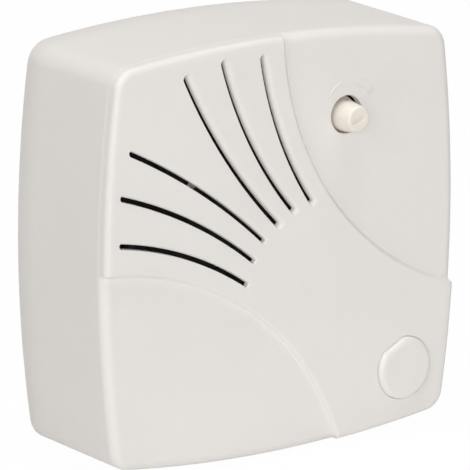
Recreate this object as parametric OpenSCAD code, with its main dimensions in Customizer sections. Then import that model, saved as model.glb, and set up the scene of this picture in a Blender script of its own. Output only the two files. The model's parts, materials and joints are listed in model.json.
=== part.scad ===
// Doorbell chime box for a wall.
// A hood-shaped cover pushes over a back plate, which carries a loudspeaker, a circuit board and the controls.
// Every piece is drawn looking at the front: x to the right, y up and z out from the wall.
// The upright() module then stands it up, with the wall at y = 0 and the front towards -y.

/* [Case] */
// Width and height across the middle of the bulged sides, at the wall
case_w = 90; // [89:0.5:110]
// Depth from the wall to the top of the raised band
case_d = 32; // [31:0.5:40]
// Outward bulge of each side between its corners
side_bulge = 3.2; // [2:0.1:3.4]
// Radius of the upright corners at the wall
corner_r = 5.5; // [5:0.25:7]
// Rounding of the front rim
rim_r = 2.3; // [1:0.1:2.6]
// Taper of the side walls, in degrees
draft = 1.4; // [0.6:0.1:1.6]
// Wall thickness of the cover
wall = 2; // [1.6:0.1:2.2]

/* [Band] */
// Height of the raised band above the two corner fields
band_h = 1.2; // [0.6:0.1:1.6]
// Step in from the side wall to the band's own edge
band_inset = 0.3; // [0.2:0.05:0.5]
// Rounding of the band's rim
band_rim_r = 1.5; // [0.8:0.1:2]
// Radius of the curved edge between the band and each field
field_r = 62.8; // [60:0.2:64]
// Centre of the upper field's curved edge, right of the motif's centre
field_x = 62.6; // [62:0.2:65]
// Centre of the upper field's curved edge, above the motif's centre
field_y = 47; // [46:0.2:49]
// Run of the sloped edge of the band
field_slope = 0.8; // [0.4:0.1:1.4]
// Shift of the band and the slots, to the left and down, from the centre of the face
motif_shift = 0.5; // [0:0.1:1]

/* [Sound slots] */
// Width of a sound slot
slot_w = 1.2; // [0.8:0.1:1.8]

/* [Volume control] */
// Place of the spindle, right of the centre
spindle_x = 15.8; // [14:0.1:18]
// Place of the spindle, above the centre
spindle_y = 25.3; // [23:0.1:26]
// Diameter of the spindle below the cover
spindle_d = 6.8; // [5.4:0.1:7.2]
// Diameter of the spindle at its tip
spindle_tip_d = 5.4; // [4:0.1:5.4]
// Height of the spindle above the upper field
spindle_stand = 3.9; // [2:0.1:6]
// Gap between the spindle and its hole in the cover
spindle_gap = 0.7; // [0.5:0.05:1]
// Distance of the spindle below the middle of its hole
spindle_sag = 0.45; // [0:0.05:0.45]
// Distance of the spindle to the right of the middle of its hole
spindle_aside = 0.25; // [0:0.05:0.25]
// Turn of the screwdriver slot in the spindle's tip, in degrees
spindle_turn = 20; // [0:1:90]
// Width and depth of the screwdriver slot
spindle_slot = 0.7; // [0.6:0.1:1.2]
// Length of the screwdriver slot
spindle_slot_l = 3.4; // [3:0.1:4]
// Diameter of the spindle where it runs in the control's case
journal_d = 6; // [4.8:0.1:6]
// Width of the control's square case
control_w = 15; // [14:0.5:15]
// Thickness of the control's case above its wafer
control_h = 3.4; // [3:0.1:4]

/* [Button] */
// Distance of the button's middle from the right side and from the bottom
button_side = 14.3; // [14:0.1:16]
// Diameter of the button
button_d = 13.2; // [11:0.1:14]
// Height of the button above the band
button_stand = 1.1; // [0.8:0.1:2]
// Gap between the button and its hole
button_gap = 0.3; // [0.3:0.05:0.6]
// Travel of the button
button_travel = 0.5; // [0.2:0.05:0.6]
// Distance of the button's flat edge from its middle
button_flat = 6; // [5:0.1:6.2]
// Width of the flange that keeps the button behind the cover
button_flange = 1.5; // [1:0.1:1.8]
// Diameter of the button's stem
stem_d = 6.4; // [5.4:0.1:7]

/* [Loudspeaker] */
// Distance of the loudspeaker's middle from the left side and from the top
speaker_side = 29.5; // [29.4:0.1:30.5]
// Diameter of the loudspeaker's rim
speaker_d = 50; // [48:0.5:50]
// Thickness of the foam gasket in front of the rim
gasket_t = 2.5; // [2:0.1:3]
// Height of the basket below its rim
basket_h = 7.5; // [7:0.1:8]
// Diameter of the voice coil's former, inside
coil_d = 12.9; // [12:0.1:13]
// Diameter of the magnet
magnet_d = 26; // [25:0.5:28]
// Thickness of the magnet
magnet_t = 4; // [3:0.1:4.4]
// Travel of the cone each way
cone_travel = 0.5; // [0.2:0.1:0.5]

/* [Back plate] */
// Thickness of the back plate
plate_t = 2.4; // [2:0.1:2.8]
// Height of the rim that the cover pushes over
plate_rim_h = 6; // [4:0.5:8]
// Thickness of that rim
plate_rim_t = 1.6; // [1.2:0.1:1.8]
// Gap between the rim and the cover
cover_gap = 0.3; // [0.25:0.05:0.4]
// Distance between the two wall screws
screw_spacing = 60; // [58:1:62]
// Height of the wall screws below the centre
screw_drop = 14; // [13:0.5:16]
// Width of a wall slot
wall_slot_w = 4.4; // [3.6:0.1:5]
// Length of a wall slot, end to end
wall_slot_l = 8; // [7:0.5:9]
// Width of the cable entry
entry_w = 20; // [12:0.5:22]
// Height of the cable entry
entry_h = 12; // [8:0.5:13]

/* [Circuit board] */
// Distance of the circuit board's edges from the sides of the case
board_margin = 9.5; // [9:0.25:10]
// Thickness of the circuit board
board_t = 1.6; // [1:0.1:1.6]
// Room between the circuit board and the loudspeaker's yoke
yoke_clear = 1.5; // [1:0.1:2]
// Pitch of the screw terminal
terminal_pitch = 5.08; // [5:0.01:5.1]
// Number of ways of the screw terminal
terminal_ways = 3; // [2:1:3]

/* [Hidden] */
$fn = 48;

// Small amount by which a cut runs past the face that it opens
past = 1;

// Outline of the case
half_w = case_w / 2;
side_chord = half_w - side_bulge;
side_r = (side_chord * side_chord + side_bulge * side_bulge) / (2 * side_bulge);
side_off = side_r - half_w;
corner_c = (sqrt(2 * pow(side_r - corner_r, 2) - side_off * side_off) - side_off) / 2;
side_angle = atan2(corner_c, corner_c + side_off);
side_steps = 8;
corner_steps = 6;
rim_steps = 4;

// Levels, measured out from the wall
field_d = case_d - band_h;
band_under = case_d - wall;
field_under = field_d - wall;
inner_rim_r = 0.8;
band_root = case_d - rim_r - band_h - 6;

// The curve of each sound slot, as it lies in the upper half: its centre, the radius of its outer edge, the
// distance of its outer end from the top of the case, and the height of its inner end
upper_slots = [
    [70.4, 53.6, 78.4, 4.4, 8.5],
    [66.5, 64.4, 86.3, 4.4, 7.3],
    [82.8, 89.1, 119.5, 6.6, 4.8],
];
lower_slots = [
    [65.2, 51.7, 73.3, 5, 8.7],
    [74.1, 68.4, 95.3, 5.3, 6.9],
    [94.5, 96.9, 134, 7.5, 4.4],
];

// Raised turning mark by the spindle: a wedge that follows an arc and ends in an arrowhead
mark_h = 0.25;
mark_x = spindle_x + 0.8;
mark_y = spindle_y + 1.7;
mark_r = 6.5;
mark_inner_r = 6.66;
mark_inner_shift = [-0.9, -1.6];
mark_start = 154;
mark_end = 40;
arrow_root = 1.6;
arrow_in = 1.1;
arrow_turn = 42;
arrow_length = 1.9;

// Loudspeaker, from the gasket inwards
speaker_x = half_w - speaker_side;
gasket_gap = 0.3;
surround_t = 0.4;
flange_t = 0.8;
flange_top = field_under - gasket_gap - gasket_t - surround_t;
flange_z = flange_top - flange_t;
basket_z = flange_z - basket_h;
basket_t = 0.6;
window_w = 10;
window_in = 1;
window_low = 1.4;
window_high = 1.6;
top_plate_t = 1.6;
yoke_t = 1.6;
top_plate_z = basket_z - top_plate_t;
magnet_z = top_plate_z - magnet_t;
yoke_z = magnet_z - yoke_t;
board_top = yoke_z - yoke_clear;
board_z = board_top - board_t;
coil_r = coil_d / 2;
former_t = 0.15;
winding_t = 0.3;
winding_over = 0.55;
winding_z = top_plate_z - winding_over;
former_z = winding_z - 1;
former_rise = 0.4;
pole_r = coil_r - 0.25;
gap_r = coil_r + former_t + winding_t + 0.3;
magnet_hole_r = gap_r + 1.3;
top_plate_r = magnet_d / 2 - 0.5;
basket_r = magnet_d / 2 + 0.4;
rim_outer_r = speaker_d / 2;
rim_inner_r = rim_outer_r - 3.2;
clamp_pitch_r = rim_outer_r + 2;
clamp_washer_r = 2.9;
clamp_washer_t = 0.7;
surround_outer_r = clamp_pitch_r - clamp_washer_r - 0.1;
roll_r = 1.1;
roll_c = rim_inner_r - roll_r - 0.2;
cone_edge_r = roll_c - roll_r - surround_t / 2 - 0.3;
cone_t = 0.35;
spider_room = 0.9;
cone_neck_z = basket_z + basket_t + spider_room + cone_travel;
cone_edge_z = flange_top - 1;
cone_steps = 6;
dust_cap_r = coil_r + 1.2;
dust_cap_h = 1.9;
dust_cap_t = 0.3;
tag_strip = [9, 5.2, 1];
tag_size = [2, 3.6, 0.3];
tag_x = 2.6;
clamp_post_r = 2.6;
clamp_screw_d = 2.6;
clamp_screw_l = 9;
clamp_head_d = 4.8;
pilot_spare = 1;
clamp_angles = [-45, 60, 210];

// Volume control, from the board outwards
wafer_t = 1.6;
control_z = board_top + wafer_t;
control_top = control_z + control_h;
wiper_t = 1;
wiper_d = 11.4;
wiper_gap = 0.3;
wiper_bore = 4;
journal_gap = 0.05;
spindle_tip_z = field_d + spindle_stand;
spindle_taper_z = field_under + 0.2;
spindle_foot_z = control_top + 0.3;
spindle_hole_d = spindle_d + 2 * spindle_gap;

// Button and its switch, from the board outwards
button_x = half_w - button_side;
button_y = -button_x;
switch_w = 6;
switch_h = 3.6;
switch_frame_t = 0.3;
switch_top = board_top + switch_h + switch_frame_t;
plunger_d = 3.4;
plunger_gap = 0.1;
plunger_rise = 3.5;
plunger_z = switch_top + plunger_rise;
stem_clear = 0.6;
stem_z = switch_top + button_travel + stem_clear;
button_flat_turn = 118;
button_flange_t = 1.2;
button_flange_z = band_under - 0.3 - button_flange_t;
button_edge = 0.6;

// Back plate
plate_inset = wall + (plate_t + plate_rim_h) * tan(draft) + cover_gap;
snap_r = 0.7;
snap_l = 10;
snap_rise = 0.15;
entry_at = [-22, -25];
entry_r = 2;
access_w = 10;

// Circuit board: a square with a bay for the supply wires cut from its lower left corner,
// and a notch in its right edge that leaves a wall screw within reach
board_half = half_w - board_margin;
bay_x = -8;
bay_y = -10;
board_screw_d = 2.2;
board_screw_l = board_top - plate_t - 0.6;
board_head_d = 4.6;
board_post_r = 3;
board_hole_gap = 0.2;
board_post_in = 5;
board_posts = [[board_post_in - board_half, -4], [board_post_in - board_half, board_half - board_post_in],
    [board_half - board_post_in, board_half - board_post_in], [15, board_post_in - board_half]];
pan_head_h = 1.7;
screw_fit = 0.05;
lead_d = 0.6;
lead_hole_d = 1;
lead_tail = 0.8;
lead_z = board_z - lead_tail;

// Screw terminal
terminal_at = [bay_x + 0.5, 9.5 - board_half];
terminal_depth = 8;
terminal_h = 10;
terminal_end = 0.4;
terminal_clamp = [5.2, 3.8, 5];
terminal_clamp_gap = 0.1;
terminal_wire_d = 2.6;
terminal_screw_d = 2.5;
terminal_screw_l = 1.8;
terminal_head_d = 3.4;
terminal_head_h = 1.8;
terminal_driver_w = 0.7;
terminal_ys = [for (i = [0 : terminal_ways - 1]) terminal_at.y + (i - (terminal_ways - 1) / 2) * terminal_pitch];

// Small parts on the board
pitch = 2.54;
chip = [9.4, 6.4, 3.3];
chip_stand = 0.5;
chip_row = 3.81;
chip_leg = [0.5, 0.25];
melody_at = [22, 3];
amplifier_at = [19, -10];
can_d = 8;
can_h = 11.5;
can_pitch = 3.5;
can_at = [[8, -25], [8, -15.8]];
bridge_d = 8.8;
bridge_h = 5.2;
bridge_stand = 0.8;
bridge_at = [18.5, -20];
resistor_d = 2.3;
resistor_l = 6.2;
resistor_span = 10.16;
resistor_cap_l = 1.4;
resistor_waist = 0.4;
resistor_first = [9, 3];
resistor_pitch = 3.6;
resistor_at = [for (i = [0 : 3]) resistor_first + [0, resistor_pitch * i]];
disc_d = 5.5;
disc_t = 2.2;
disc_stand = 1;
edge_row = board_half - 5.5;
disc_at = [[edge_row, 10], [edge_row, 14.5]];
transistor_d = 4.8;
transistor_h = 4.6;
transistor_stand = 2;
transistor_at = [edge_row, -5];
speaker_pads = [for (side = [-1, 1]) [-speaker_x + side * tag_x, -6.5]];

function chip_pins(at) = [for (i = [0 : 3], side = [-1, 1]) at + [(i - 1.5) * pitch, side * chip_row]];
function pair(at, span) = [at - [span / 2, 0], at + [span / 2, 0]];
control_pins = [for (i = [-1 : 1]) [spindle_x + i * pitch * 2, spindle_y - control_w / 2 + 1.5]];
switch_pins = [for (sx = [-1, 1], sy = [-1, 1]) [button_x + sx * 2.2, button_y + sy * 2.2]];
terminal_pins = [for (y = terminal_ys) [terminal_at.x + terminal_depth - 3, y]];
can_pins = [for (at = can_at) each pair(at, can_pitch)];
bridge_pins = [for (sx = [-1, 1], sy = [-1, 1]) bridge_at + [sx, sy] * 2.5];
resistor_pins = [for (at = resistor_at) each pair(at, resistor_span)];
disc_pins = [for (at = disc_at) each pair(at, pitch)];
transistor_pins = [for (i = [-1 : 1]) transistor_at + [i * 1.27, 0]];
all_pins = concat(chip_pins(melody_at), chip_pins(amplifier_at), control_pins, switch_pins, terminal_pins, can_pins,
    bridge_pins, resistor_pins, disc_pins, transistor_pins, speaker_pads);

// Leads from the loudspeaker's tags to the board: points from the tag, as x off the tag's own line, y and z
lead_r = 0.6;
lead_sides = 8;
lead_route = [[0, 0, 0], [0, 0, -2], [-0.4, -0.3, -4.5], [-0.6, 0.3, -7], [-0.3, 1.8, -9.5], [0, 3.6, -11.5],
    [0, 4.4, -13], [0, 4.4, -14]];

// Stands a piece drawn in the front view upright
module upright() rotate([90, 0, 0]) children();

// Places what belongs to the loudspeaker
module at_speaker() translate([-speaker_x, speaker_x, 0]) children();

// Points of the case's outline, moved in by inset
function turned(p, q) = [p.x * cos(90 * q) - p.y * sin(90 * q), p.x * sin(90 * q) + p.y * cos(90 * q)];
function side_points(inset) = concat(
    [for (i = [0 : side_steps]) let (a = side_angle * (2 * i / side_steps - 1))
        [(side_r - inset) * cos(a) - side_off, (side_r - inset) * sin(a)]],
    [for (i = [1 : corner_steps - 1]) let (a = side_angle + (90 - 2 * side_angle) * i / corner_steps)
        [corner_c + (corner_r - inset) * cos(a), corner_c + (corner_r - inset) * sin(a)]]);
function outline(inset) = [for (q = [0 : 3]) each [for (p = side_points(inset)) turned(p, q)]];

// Levels of a tapered hood with a rounded rim: pairs of inset and height
function hood_levels(inset, low, high, edge_r) = let (taper = tan(draft), turn = high - edge_r) concat(
    [[inset + low * taper, low]],
    [for (i = [0 : rim_steps]) let (a = 90 * i / rim_steps)
        [inset + turn * taper + edge_r * (1 - cos(a)), turn + edge_r * sin(a)]]);

// Solid through a list of levels
module loft(levels) {
    rings = [for (level = levels) [for (p = outline(level[0])) [p.x, p.y, level[1]]]];
    count = len(rings[0]);
    last = len(rings) - 1;
    sides = [for (i = [0 : last - 1], j = [0 : count - 1]) let (k = (j + 1) % count, a = i * count, b = a + count)
        each [[a + j, b + j, b + k], [a + j, b + k, a + k]]];
    floor_face = [for (j = [0 : count - 1]) j];
    roof_face = [for (j = [count - 1 : -1 : 0]) last * count + j];
    polyhedron([for (ring = rings) each ring], concat(sides, [floor_face, roof_face]), convexity = 6);
}

// The upper half of the motif, and its lower half, which is mirrored in the diagonal
module upper_half() translate([-motif_shift, -motif_shift, 0]) children();
module lower_half() translate([-motif_shift, -motif_shift, 0]) mirror([1, 1, 0]) children();

// Cone that clears the band away over a field, grown by spread
module field_cutter(spread, low) {
    high = case_d + past;
    slope = field_slope / band_h;
    middle = field_d + band_h / 2;
    translate([field_x, field_y, low])
        cylinder(h = high - low, r1 = field_r + spread + (low - middle) * slope,
            r2 = field_r + spread + (high - middle) * slope, $fn = 96);
}

// The raised band on its own, moved in by inset
module band(inset, high, edge_r) difference() {
    loft(hood_levels(inset + band_inset, band_root, high, edge_r));
    upper_half() field_cutter(-inset, field_d - rim_r);
    lower_half() field_cutter(-inset, field_d - rim_r);
}

// One sound slot as a curved bar through the band
module sound_slot(curve) {
    start = asin((curve[1] - half_w + curve[3]) / curve[2]);
    end = asin((curve[1] - curve[4]) / curve[2]);
    middle = curve[2] - slot_w / 2;
    low = field_under - past;
    translate([curve[0], curve[1], low]) rotate(180 + start) {
        rotate_extrude(angle = end - start, $fn = 96) translate([curve[2] - slot_w, 0])
            square([slot_w, wall + band_h + 2 * past]);
        translate([middle, 0, 0]) cylinder(d = slot_w, h = wall + band_h + 2 * past);
    }
}

// Round with a flat edge, for the button and its hole
module keyed_round(d, flat, h) intersection() {
    cylinder(d = d, h = h);
    rotate(button_flat_turn) translate([flat - d, -d, 0]) cube([d, 2 * d, h]);
}

// Raised mark that shows which way is louder
module turning_mark() {
    low = field_d - mark_h;
    h = 2 * mark_h;
    translate([mark_x, mark_y, low]) {
        difference() {
            rotate(mark_end) rotate_extrude(angle = mark_start - mark_end) square([mark_r, h]);
            translate([mark_inner_shift.x, mark_inner_shift.y, -past])
                cylinder(r = mark_inner_r, h = h + 2 * past);
        }
        rotate(mark_end) translate([mark_r - arrow_in, 0, 0]) rotate(arrow_turn) linear_extrude(h)
            polygon([[-arrow_root, 0.3], [arrow_root, 0.3], [0, -arrow_length]]);
    }
}

module front_cover() color("whitesmoke") upright() difference() {
    union() {
        loft(hood_levels(0, 0, field_d, rim_r));
        band(0, case_d, band_rim_r);
        turning_mark();
    }
    loft(hood_levels(wall, -past, field_under, inner_rim_r));
    band(wall, band_under, inner_rim_r);
    upper_half() for (curve = upper_slots) sound_slot(curve);
    lower_half() for (curve = lower_slots) sound_slot(curve);
    translate([spindle_x - spindle_aside, spindle_y + spindle_sag, field_under - past])
        cylinder(d = spindle_hole_d, h = wall + 2 * past);
    translate([button_x, button_y, field_under - past])
        keyed_round(button_d + 2 * button_gap, button_flat + button_gap, wall + band_h + 2 * past);
}

// Places what stands on the three clamp posts
module at_clamps() at_speaker() for (a = clamp_angles) rotate(a) translate([clamp_pitch_r, 0, 0]) children();

// Wall slot, centred, along x
module wall_slot() for (side = [-1, 1]) {
    translate([side * (wall_slot_l - wall_slot_w) / 2, 0, -past]) cylinder(d = wall_slot_w, h = plate_t + 2 * past);
    translate([-(wall_slot_l - wall_slot_w) / 2, -wall_slot_w / 2, -past])
        cube([wall_slot_l - wall_slot_w, wall_slot_w, plate_t + 2 * past]);
}

module cable_entry() translate([entry_at.x, entry_at.y, -past]) {
    h = plate_t + 2 * past;
    for (sx = [-1, 1], sy = [-1, 1])
        translate([sx * (entry_w / 2 - entry_r), sy * (entry_h / 2 - entry_r), 0]) cylinder(r = entry_r, h = h);
    translate([-entry_w / 2, entry_r - entry_h / 2, 0]) cube([entry_w, entry_h - 2 * entry_r, h]);
    translate([entry_r - entry_w / 2, -entry_h / 2, 0]) cube([entry_w - 2 * entry_r, entry_h, h]);
}

module back_plate() color("gainsboro") upright() difference() {
    union() {
        linear_extrude(plate_t) polygon(outline(plate_inset));
        linear_extrude(plate_t + plate_rim_h) difference() {
            polygon(outline(plate_inset));
            polygon(outline(plate_inset + plate_rim_t));
        }
        for (q = [0 : 3]) rotate(90 * q)
            translate([half_w - plate_inset - snap_r + snap_rise, 0, plate_t + plate_rim_h / 2]) rotate([90, 0, 0])
                cylinder(r = snap_r, h = snap_l, center = true);
        for (at = board_posts) translate([at.x, at.y, 0]) cylinder(r = board_post_r, h = board_z);
        difference() {
            at_clamps() cylinder(r = clamp_post_r, h = flange_top);
            at_speaker() translate([0, 0, flange_z]) cylinder(r = rim_outer_r + 0.15, h = flange_t + past);
        }
    }
    for (side = [-1, 1]) translate([side * screw_spacing / 2, -screw_drop, 0]) wall_slot();
    cable_entry();
    for (at = board_posts) translate([at.x, at.y, plate_t])
        cylinder(d = board_screw_d + 2 * screw_fit, h = board_z - plate_t + past);
    at_clamps() translate([0, 0, flange_top - clamp_screw_l - pilot_spare])
        cylinder(d = clamp_screw_d + 2 * screw_fit, h = clamp_screw_l + pilot_spare + past);
}

// Pan-head screw with its seat at z = 0 and a cross in its head
module pan_screw(d, length, head_d) {
    translate([0, 0, -length]) cylinder(d = d, h = length);
    difference() {
        cylinder(d1 = head_d, d2 = head_d * 0.72, h = pan_head_h);
        for (turn = [0, 90]) rotate(turn) translate([-head_d * 0.28, -head_d * 0.06, pan_head_h * 0.45])
            cube([head_d * 0.56, head_d * 0.12, pan_head_h]);
    }
}

module button_cap() color("whitesmoke") upright() translate([button_x, button_y, 0]) {
    face_z = case_d + button_stand;
    difference() {
        union() {
            translate([0, 0, button_flange_z])
                keyed_round(button_d, button_flat, face_z - button_edge - button_flange_z);
            translate([0, 0, face_z - button_edge]) intersection() {
                cylinder(d1 = button_d, d2 = button_d - 2 * button_edge, h = button_edge);
                keyed_round(button_d, button_flat, button_edge);
            }
            translate([0, 0, button_flange_z]) cylinder(d = button_d + 2 * button_flange, h = button_flange_t);
            translate([0, 0, stem_z]) cylinder(d = stem_d, h = button_flange_z + button_flange_t - stem_z);
        }
        translate([0, 0, stem_z - past]) cylinder(d = plunger_d + 0.04, h = plunger_z - stem_z + past);
    }
}

module switch_plunger() color("dimgray") upright() translate([button_x, button_y, 0])
    translate([0, 0, board_top + switch_h / 2]) cylinder(d = plunger_d, h = plunger_z - board_top - switch_h / 2);

module switch_body() color("black") upright() translate([button_x, button_y, board_top]) difference() {
    translate([-switch_w / 2, -switch_w / 2, 0]) cube([switch_w, switch_w, switch_h]);
    translate([0, 0, switch_h / 2 - button_travel - 0.4])
        cylinder(d = plunger_d + 2 * plunger_gap, h = switch_h);
}

module switch_frame() color("silver") upright() translate([button_x, button_y, board_top + switch_h]) difference() {
    translate([-switch_w / 2, -switch_w / 2, 0]) cube([switch_w, switch_w, switch_frame_t]);
    translate([0, 0, -past]) cylinder(d = plunger_d + 0.6, h = switch_frame_t + 2 * past);
}

// Straight legs through the board, up to a height
module legs(points, top) for (p = points) translate([p.x, p.y, lead_z]) cylinder(d = lead_d, h = top - lead_z);

module switch_legs() color("silver") upright() legs(switch_pins, board_top);

module volume_spindle() color("ivory") upright() translate([spindle_x, spindle_y, 0]) difference() {
    union() {
        translate([0, 0, control_z + wiper_gap]) cylinder(d = wiper_bore, h = wiper_t);
        translate([0, 0, control_z + wiper_gap + wiper_t])
            cylinder(d = journal_d, h = spindle_foot_z - control_z - wiper_gap - wiper_t);
        translate([0, 0, spindle_foot_z]) cylinder(d = spindle_d, h = spindle_taper_z - spindle_foot_z);
        translate([0, 0, spindle_taper_z])
            cylinder(d1 = spindle_d, d2 = spindle_tip_d, h = spindle_tip_z - spindle_taper_z);
    }
    rotate(spindle_turn) translate([-spindle_slot_l / 2, -spindle_slot / 2, spindle_tip_z - spindle_slot])
        cube([spindle_slot_l, spindle_slot, spindle_slot + past]);
}

module volume_wiper() color("goldenrod") upright() translate([spindle_x, spindle_y, control_z + wiper_gap])
    difference() {
        cylinder(d = wiper_d, h = wiper_t);
        translate([0, 0, -past]) cylinder(d = wiper_bore + 0.04, h = wiper_t + 2 * past);
    }

module volume_case() color("darkslategray") upright() translate([spindle_x, spindle_y, control_z]) difference() {
    translate([-control_w / 2, -control_w / 2, 0]) cube([control_w, control_w, control_h]);
    translate([0, 0, -past]) cylinder(d = wiper_d + 0.8, h = wiper_gap + wiper_t + 0.3 + past);
    cylinder(d = journal_d + 2 * journal_gap, h = control_h + past);
}

module volume_wafer() color("sienna") upright() translate([spindle_x - control_w / 2, spindle_y - control_w / 2,
    board_top]) cube([control_w, control_w, wafer_t]);

module volume_legs() color("silver") upright() legs(control_pins, board_top);

// Profile of the basket: floor ring, sloped wall and rim
module basket_profile() polygon([
    [gap_r + 1, basket_z], [basket_r, basket_z], [rim_inner_r, flange_z], [rim_outer_r, flange_z],
    [rim_outer_r, flange_top], [rim_inner_r - 0.4, flange_top], [basket_r - 0.5, basket_z + basket_t],
    [gap_r + 1, basket_z + basket_t]]);

module speaker_basket() color("silver") upright() at_speaker() difference() {
    rotate_extrude() basket_profile();
    for (q = [0 : 3]) rotate(90 * q) translate([basket_r - window_in, -window_w / 2, basket_z + window_low])
        cube([rim_outer_r, window_w, basket_h - window_low - window_high]);
}

// Ring about the loudspeaker's axis
module ring(inner, outer, low, h) translate([0, 0, low]) difference() {
    cylinder(r = outer, h = h);
    translate([0, 0, -past]) cylinder(r = inner, h = h + 2 * past);
}

module speaker_magnet() color("dimgray") upright() at_speaker()
    ring(magnet_hole_r, magnet_d / 2, magnet_z, magnet_t);

module speaker_top_plate() color("silver") upright() at_speaker()
    ring(gap_r, top_plate_r, top_plate_z, top_plate_t);

module speaker_yoke() color("silver") upright() at_speaker() {
    translate([0, 0, yoke_z]) cylinder(r = top_plate_r, h = yoke_t);
    translate([0, 0, yoke_z]) cylinder(r = pole_r, h = basket_z - yoke_z);
}

// Height of the cone's front surface at a share of the way from its neck to its edge
function cone_z(share) = cone_neck_z + (cone_edge_z - cone_neck_z) * pow(share, 0.85);
function cone_r(share) = coil_r + former_t + 0.05 + (cone_edge_r - coil_r - former_t - 0.05) * share;

module speaker_cone() color("dimgray") upright() at_speaker() rotate_extrude() polygon(concat(
    [for (i = [0 : cone_steps]) [cone_r(i / cone_steps), cone_z(i / cone_steps)]],
    [for (i = [cone_steps : -1 : 0]) [cone_r(i / cone_steps), cone_z(i / cone_steps) + cone_t]]));

// Share of the way up the cone where the dust cap's edge lies, and the cap's foot there
cap_share = (dust_cap_r - cone_r(0)) / (cone_r(1) - cone_r(0));
cap_z = cone_z(cap_share) + cone_t + 0.05;
cap_sphere_r = (dust_cap_r * dust_cap_r + dust_cap_h * dust_cap_h) / (2 * dust_cap_h);

module speaker_dust_cap() color("gray") upright() at_speaker() translate([0, 0, cap_z]) rotate_extrude()
    intersection() {
        translate([0, dust_cap_h - cap_sphere_r]) difference() {
            circle(r = cap_sphere_r, $fn = 96);
            circle(r = cap_sphere_r - dust_cap_t, $fn = 96);
        }
        square([dust_cap_r + past, dust_cap_h + past]);
    }

module coil_former() color("tan") upright() at_speaker()
    ring(coil_r, coil_r + former_t, former_z, cone_neck_z + former_rise - former_z);

module voice_coil() color("peru") upright() at_speaker()
    ring(coil_r + former_t, coil_r + former_t + winding_t, winding_z, top_plate_t + 2 * winding_over);

// Dabs of glue: one on the dust cap, two on the cone where the coil's wires come out
dab_w = 2;
dab_h = 0.5;
dab_gap = 0.05;
cap_dab_r = 2.5;
cap_dab_turn = -128;
cone_dab_r = 10.8;
cone_dab_turns = [-74, -60];

function cap_front(r) = cap_z + dust_cap_h - cap_sphere_r + sqrt(cap_sphere_r * cap_sphere_r - r * r);
function cone_front(r) = cone_z((r - cone_r(0)) / (cone_r(1) - cone_r(0))) + cone_t;

// One dab: a short low ridge about the loudspeaker's axis, between the heights of its two feet
module dab(r, turn, inner_z, outer_z) {
    spread = asin(dab_w / (2 * r));
    rotate(turn - spread) rotate_extrude(angle = 2 * spread) polygon([
        [r - dab_w / 2, inner_z + dab_gap], [r + dab_w / 2, outer_z + dab_gap],
        [r, (inner_z + outer_z) / 2 + dab_gap + dab_h]]);
}

module glue_dabs() color("burlywood") upright() at_speaker() {
    half = dab_w / 2;
    dome = cap_front(cap_dab_r) - (cap_front(cap_dab_r - half) + cap_front(cap_dab_r + half)) / 2;
    dab(cap_dab_r, cap_dab_turn, cap_front(cap_dab_r - half) + dome, cap_front(cap_dab_r + half) + dome);
    for (turn = cone_dab_turns)
        dab(cone_dab_r, turn, cone_front(cone_dab_r - half) + dab_gap, cone_front(cone_dab_r + half) + dab_gap);
}

// Corrugated ring that centres the coil
spider_steps = 16;
spider_wave = 0.15;
spider_t = 0.25;
function spider_point(i, z) = let (share = i / spider_steps)
    [gap_r + (basket_r - 0.9 - gap_r) * share, basket_z + basket_t + spider_wave * (1 - cos(720 * share)) + z];

module speaker_spider() color("goldenrod") upright() at_speaker() rotate_extrude() polygon(concat(
    [for (i = [0 : spider_steps]) spider_point(i, 0)],
    [for (i = [spider_steps : -1 : 0]) spider_point(i, spider_t)]));

module speaker_surround() color("dimgray") upright() at_speaker() rotate_extrude() {
    translate([rim_inner_r - 0.2, flange_top]) square([surround_outer_r - rim_inner_r + 0.2, surround_t]);
    intersection() {
        translate([roll_c, flange_top]) difference() {
            circle(r = roll_r + surround_t / 2);
            circle(r = roll_r - surround_t / 2);
        }
        translate([roll_c - 2 * roll_r, flange_top]) square([4 * roll_r, 2 * roll_r]);
    }
}

module speaker_gasket() color("black") upright() at_speaker()
    ring(rim_inner_r + 0.4, surround_outer_r, flange_top + surround_t, gasket_t);

module speaker_tag_strip() color("saddlebrown") upright() at_speaker()
    translate([-tag_strip.x / 2, -rim_inner_r - 1 - tag_strip.y, flange_z - tag_strip.z]) cube(tag_strip);

tag_y = -rim_inner_r - 1 - tag_strip.y + tag_size.y / 2 + 0.4;
tag_z = flange_z - tag_strip.z - tag_size.z;

module speaker_tags() color("gold") upright() at_speaker() for (side = [-1, 1])
    translate([side * tag_x - tag_size.x / 2, tag_y - tag_size.y / 2, tag_z]) cube(tag_size);

module clamp_washers() color("silver") upright() at_clamps() translate([0, 0, flange_top]) difference() {
    cylinder(r = clamp_washer_r, h = clamp_washer_t);
    translate([0, 0, -past]) cylinder(d = clamp_screw_d + 0.3, h = clamp_washer_t + 2 * past);
}

module clamp_screws() color("silver") upright() at_clamps() translate([0, 0, flange_top + clamp_washer_t])
    pan_screw(clamp_screw_d, clamp_screw_l, clamp_head_d);

// Tube swept along points, with its rings square to the path
function along(points, i) = let (a = points[max(i - 1, 0)], b = points[min(i + 1, len(points) - 1)])
    (b - a) / norm(b - a);
function tube_ring(points, i) = let (t = along(points, i), u = cross(t, [1, 0, 0]) / norm(cross(t, [1, 0, 0])),
    v = cross(t, u)) [for (k = [0 : lead_sides - 1]) let (a = 360 * k / lead_sides)
        points[i] + lead_r * (u * cos(a) + v * sin(a))];

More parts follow.
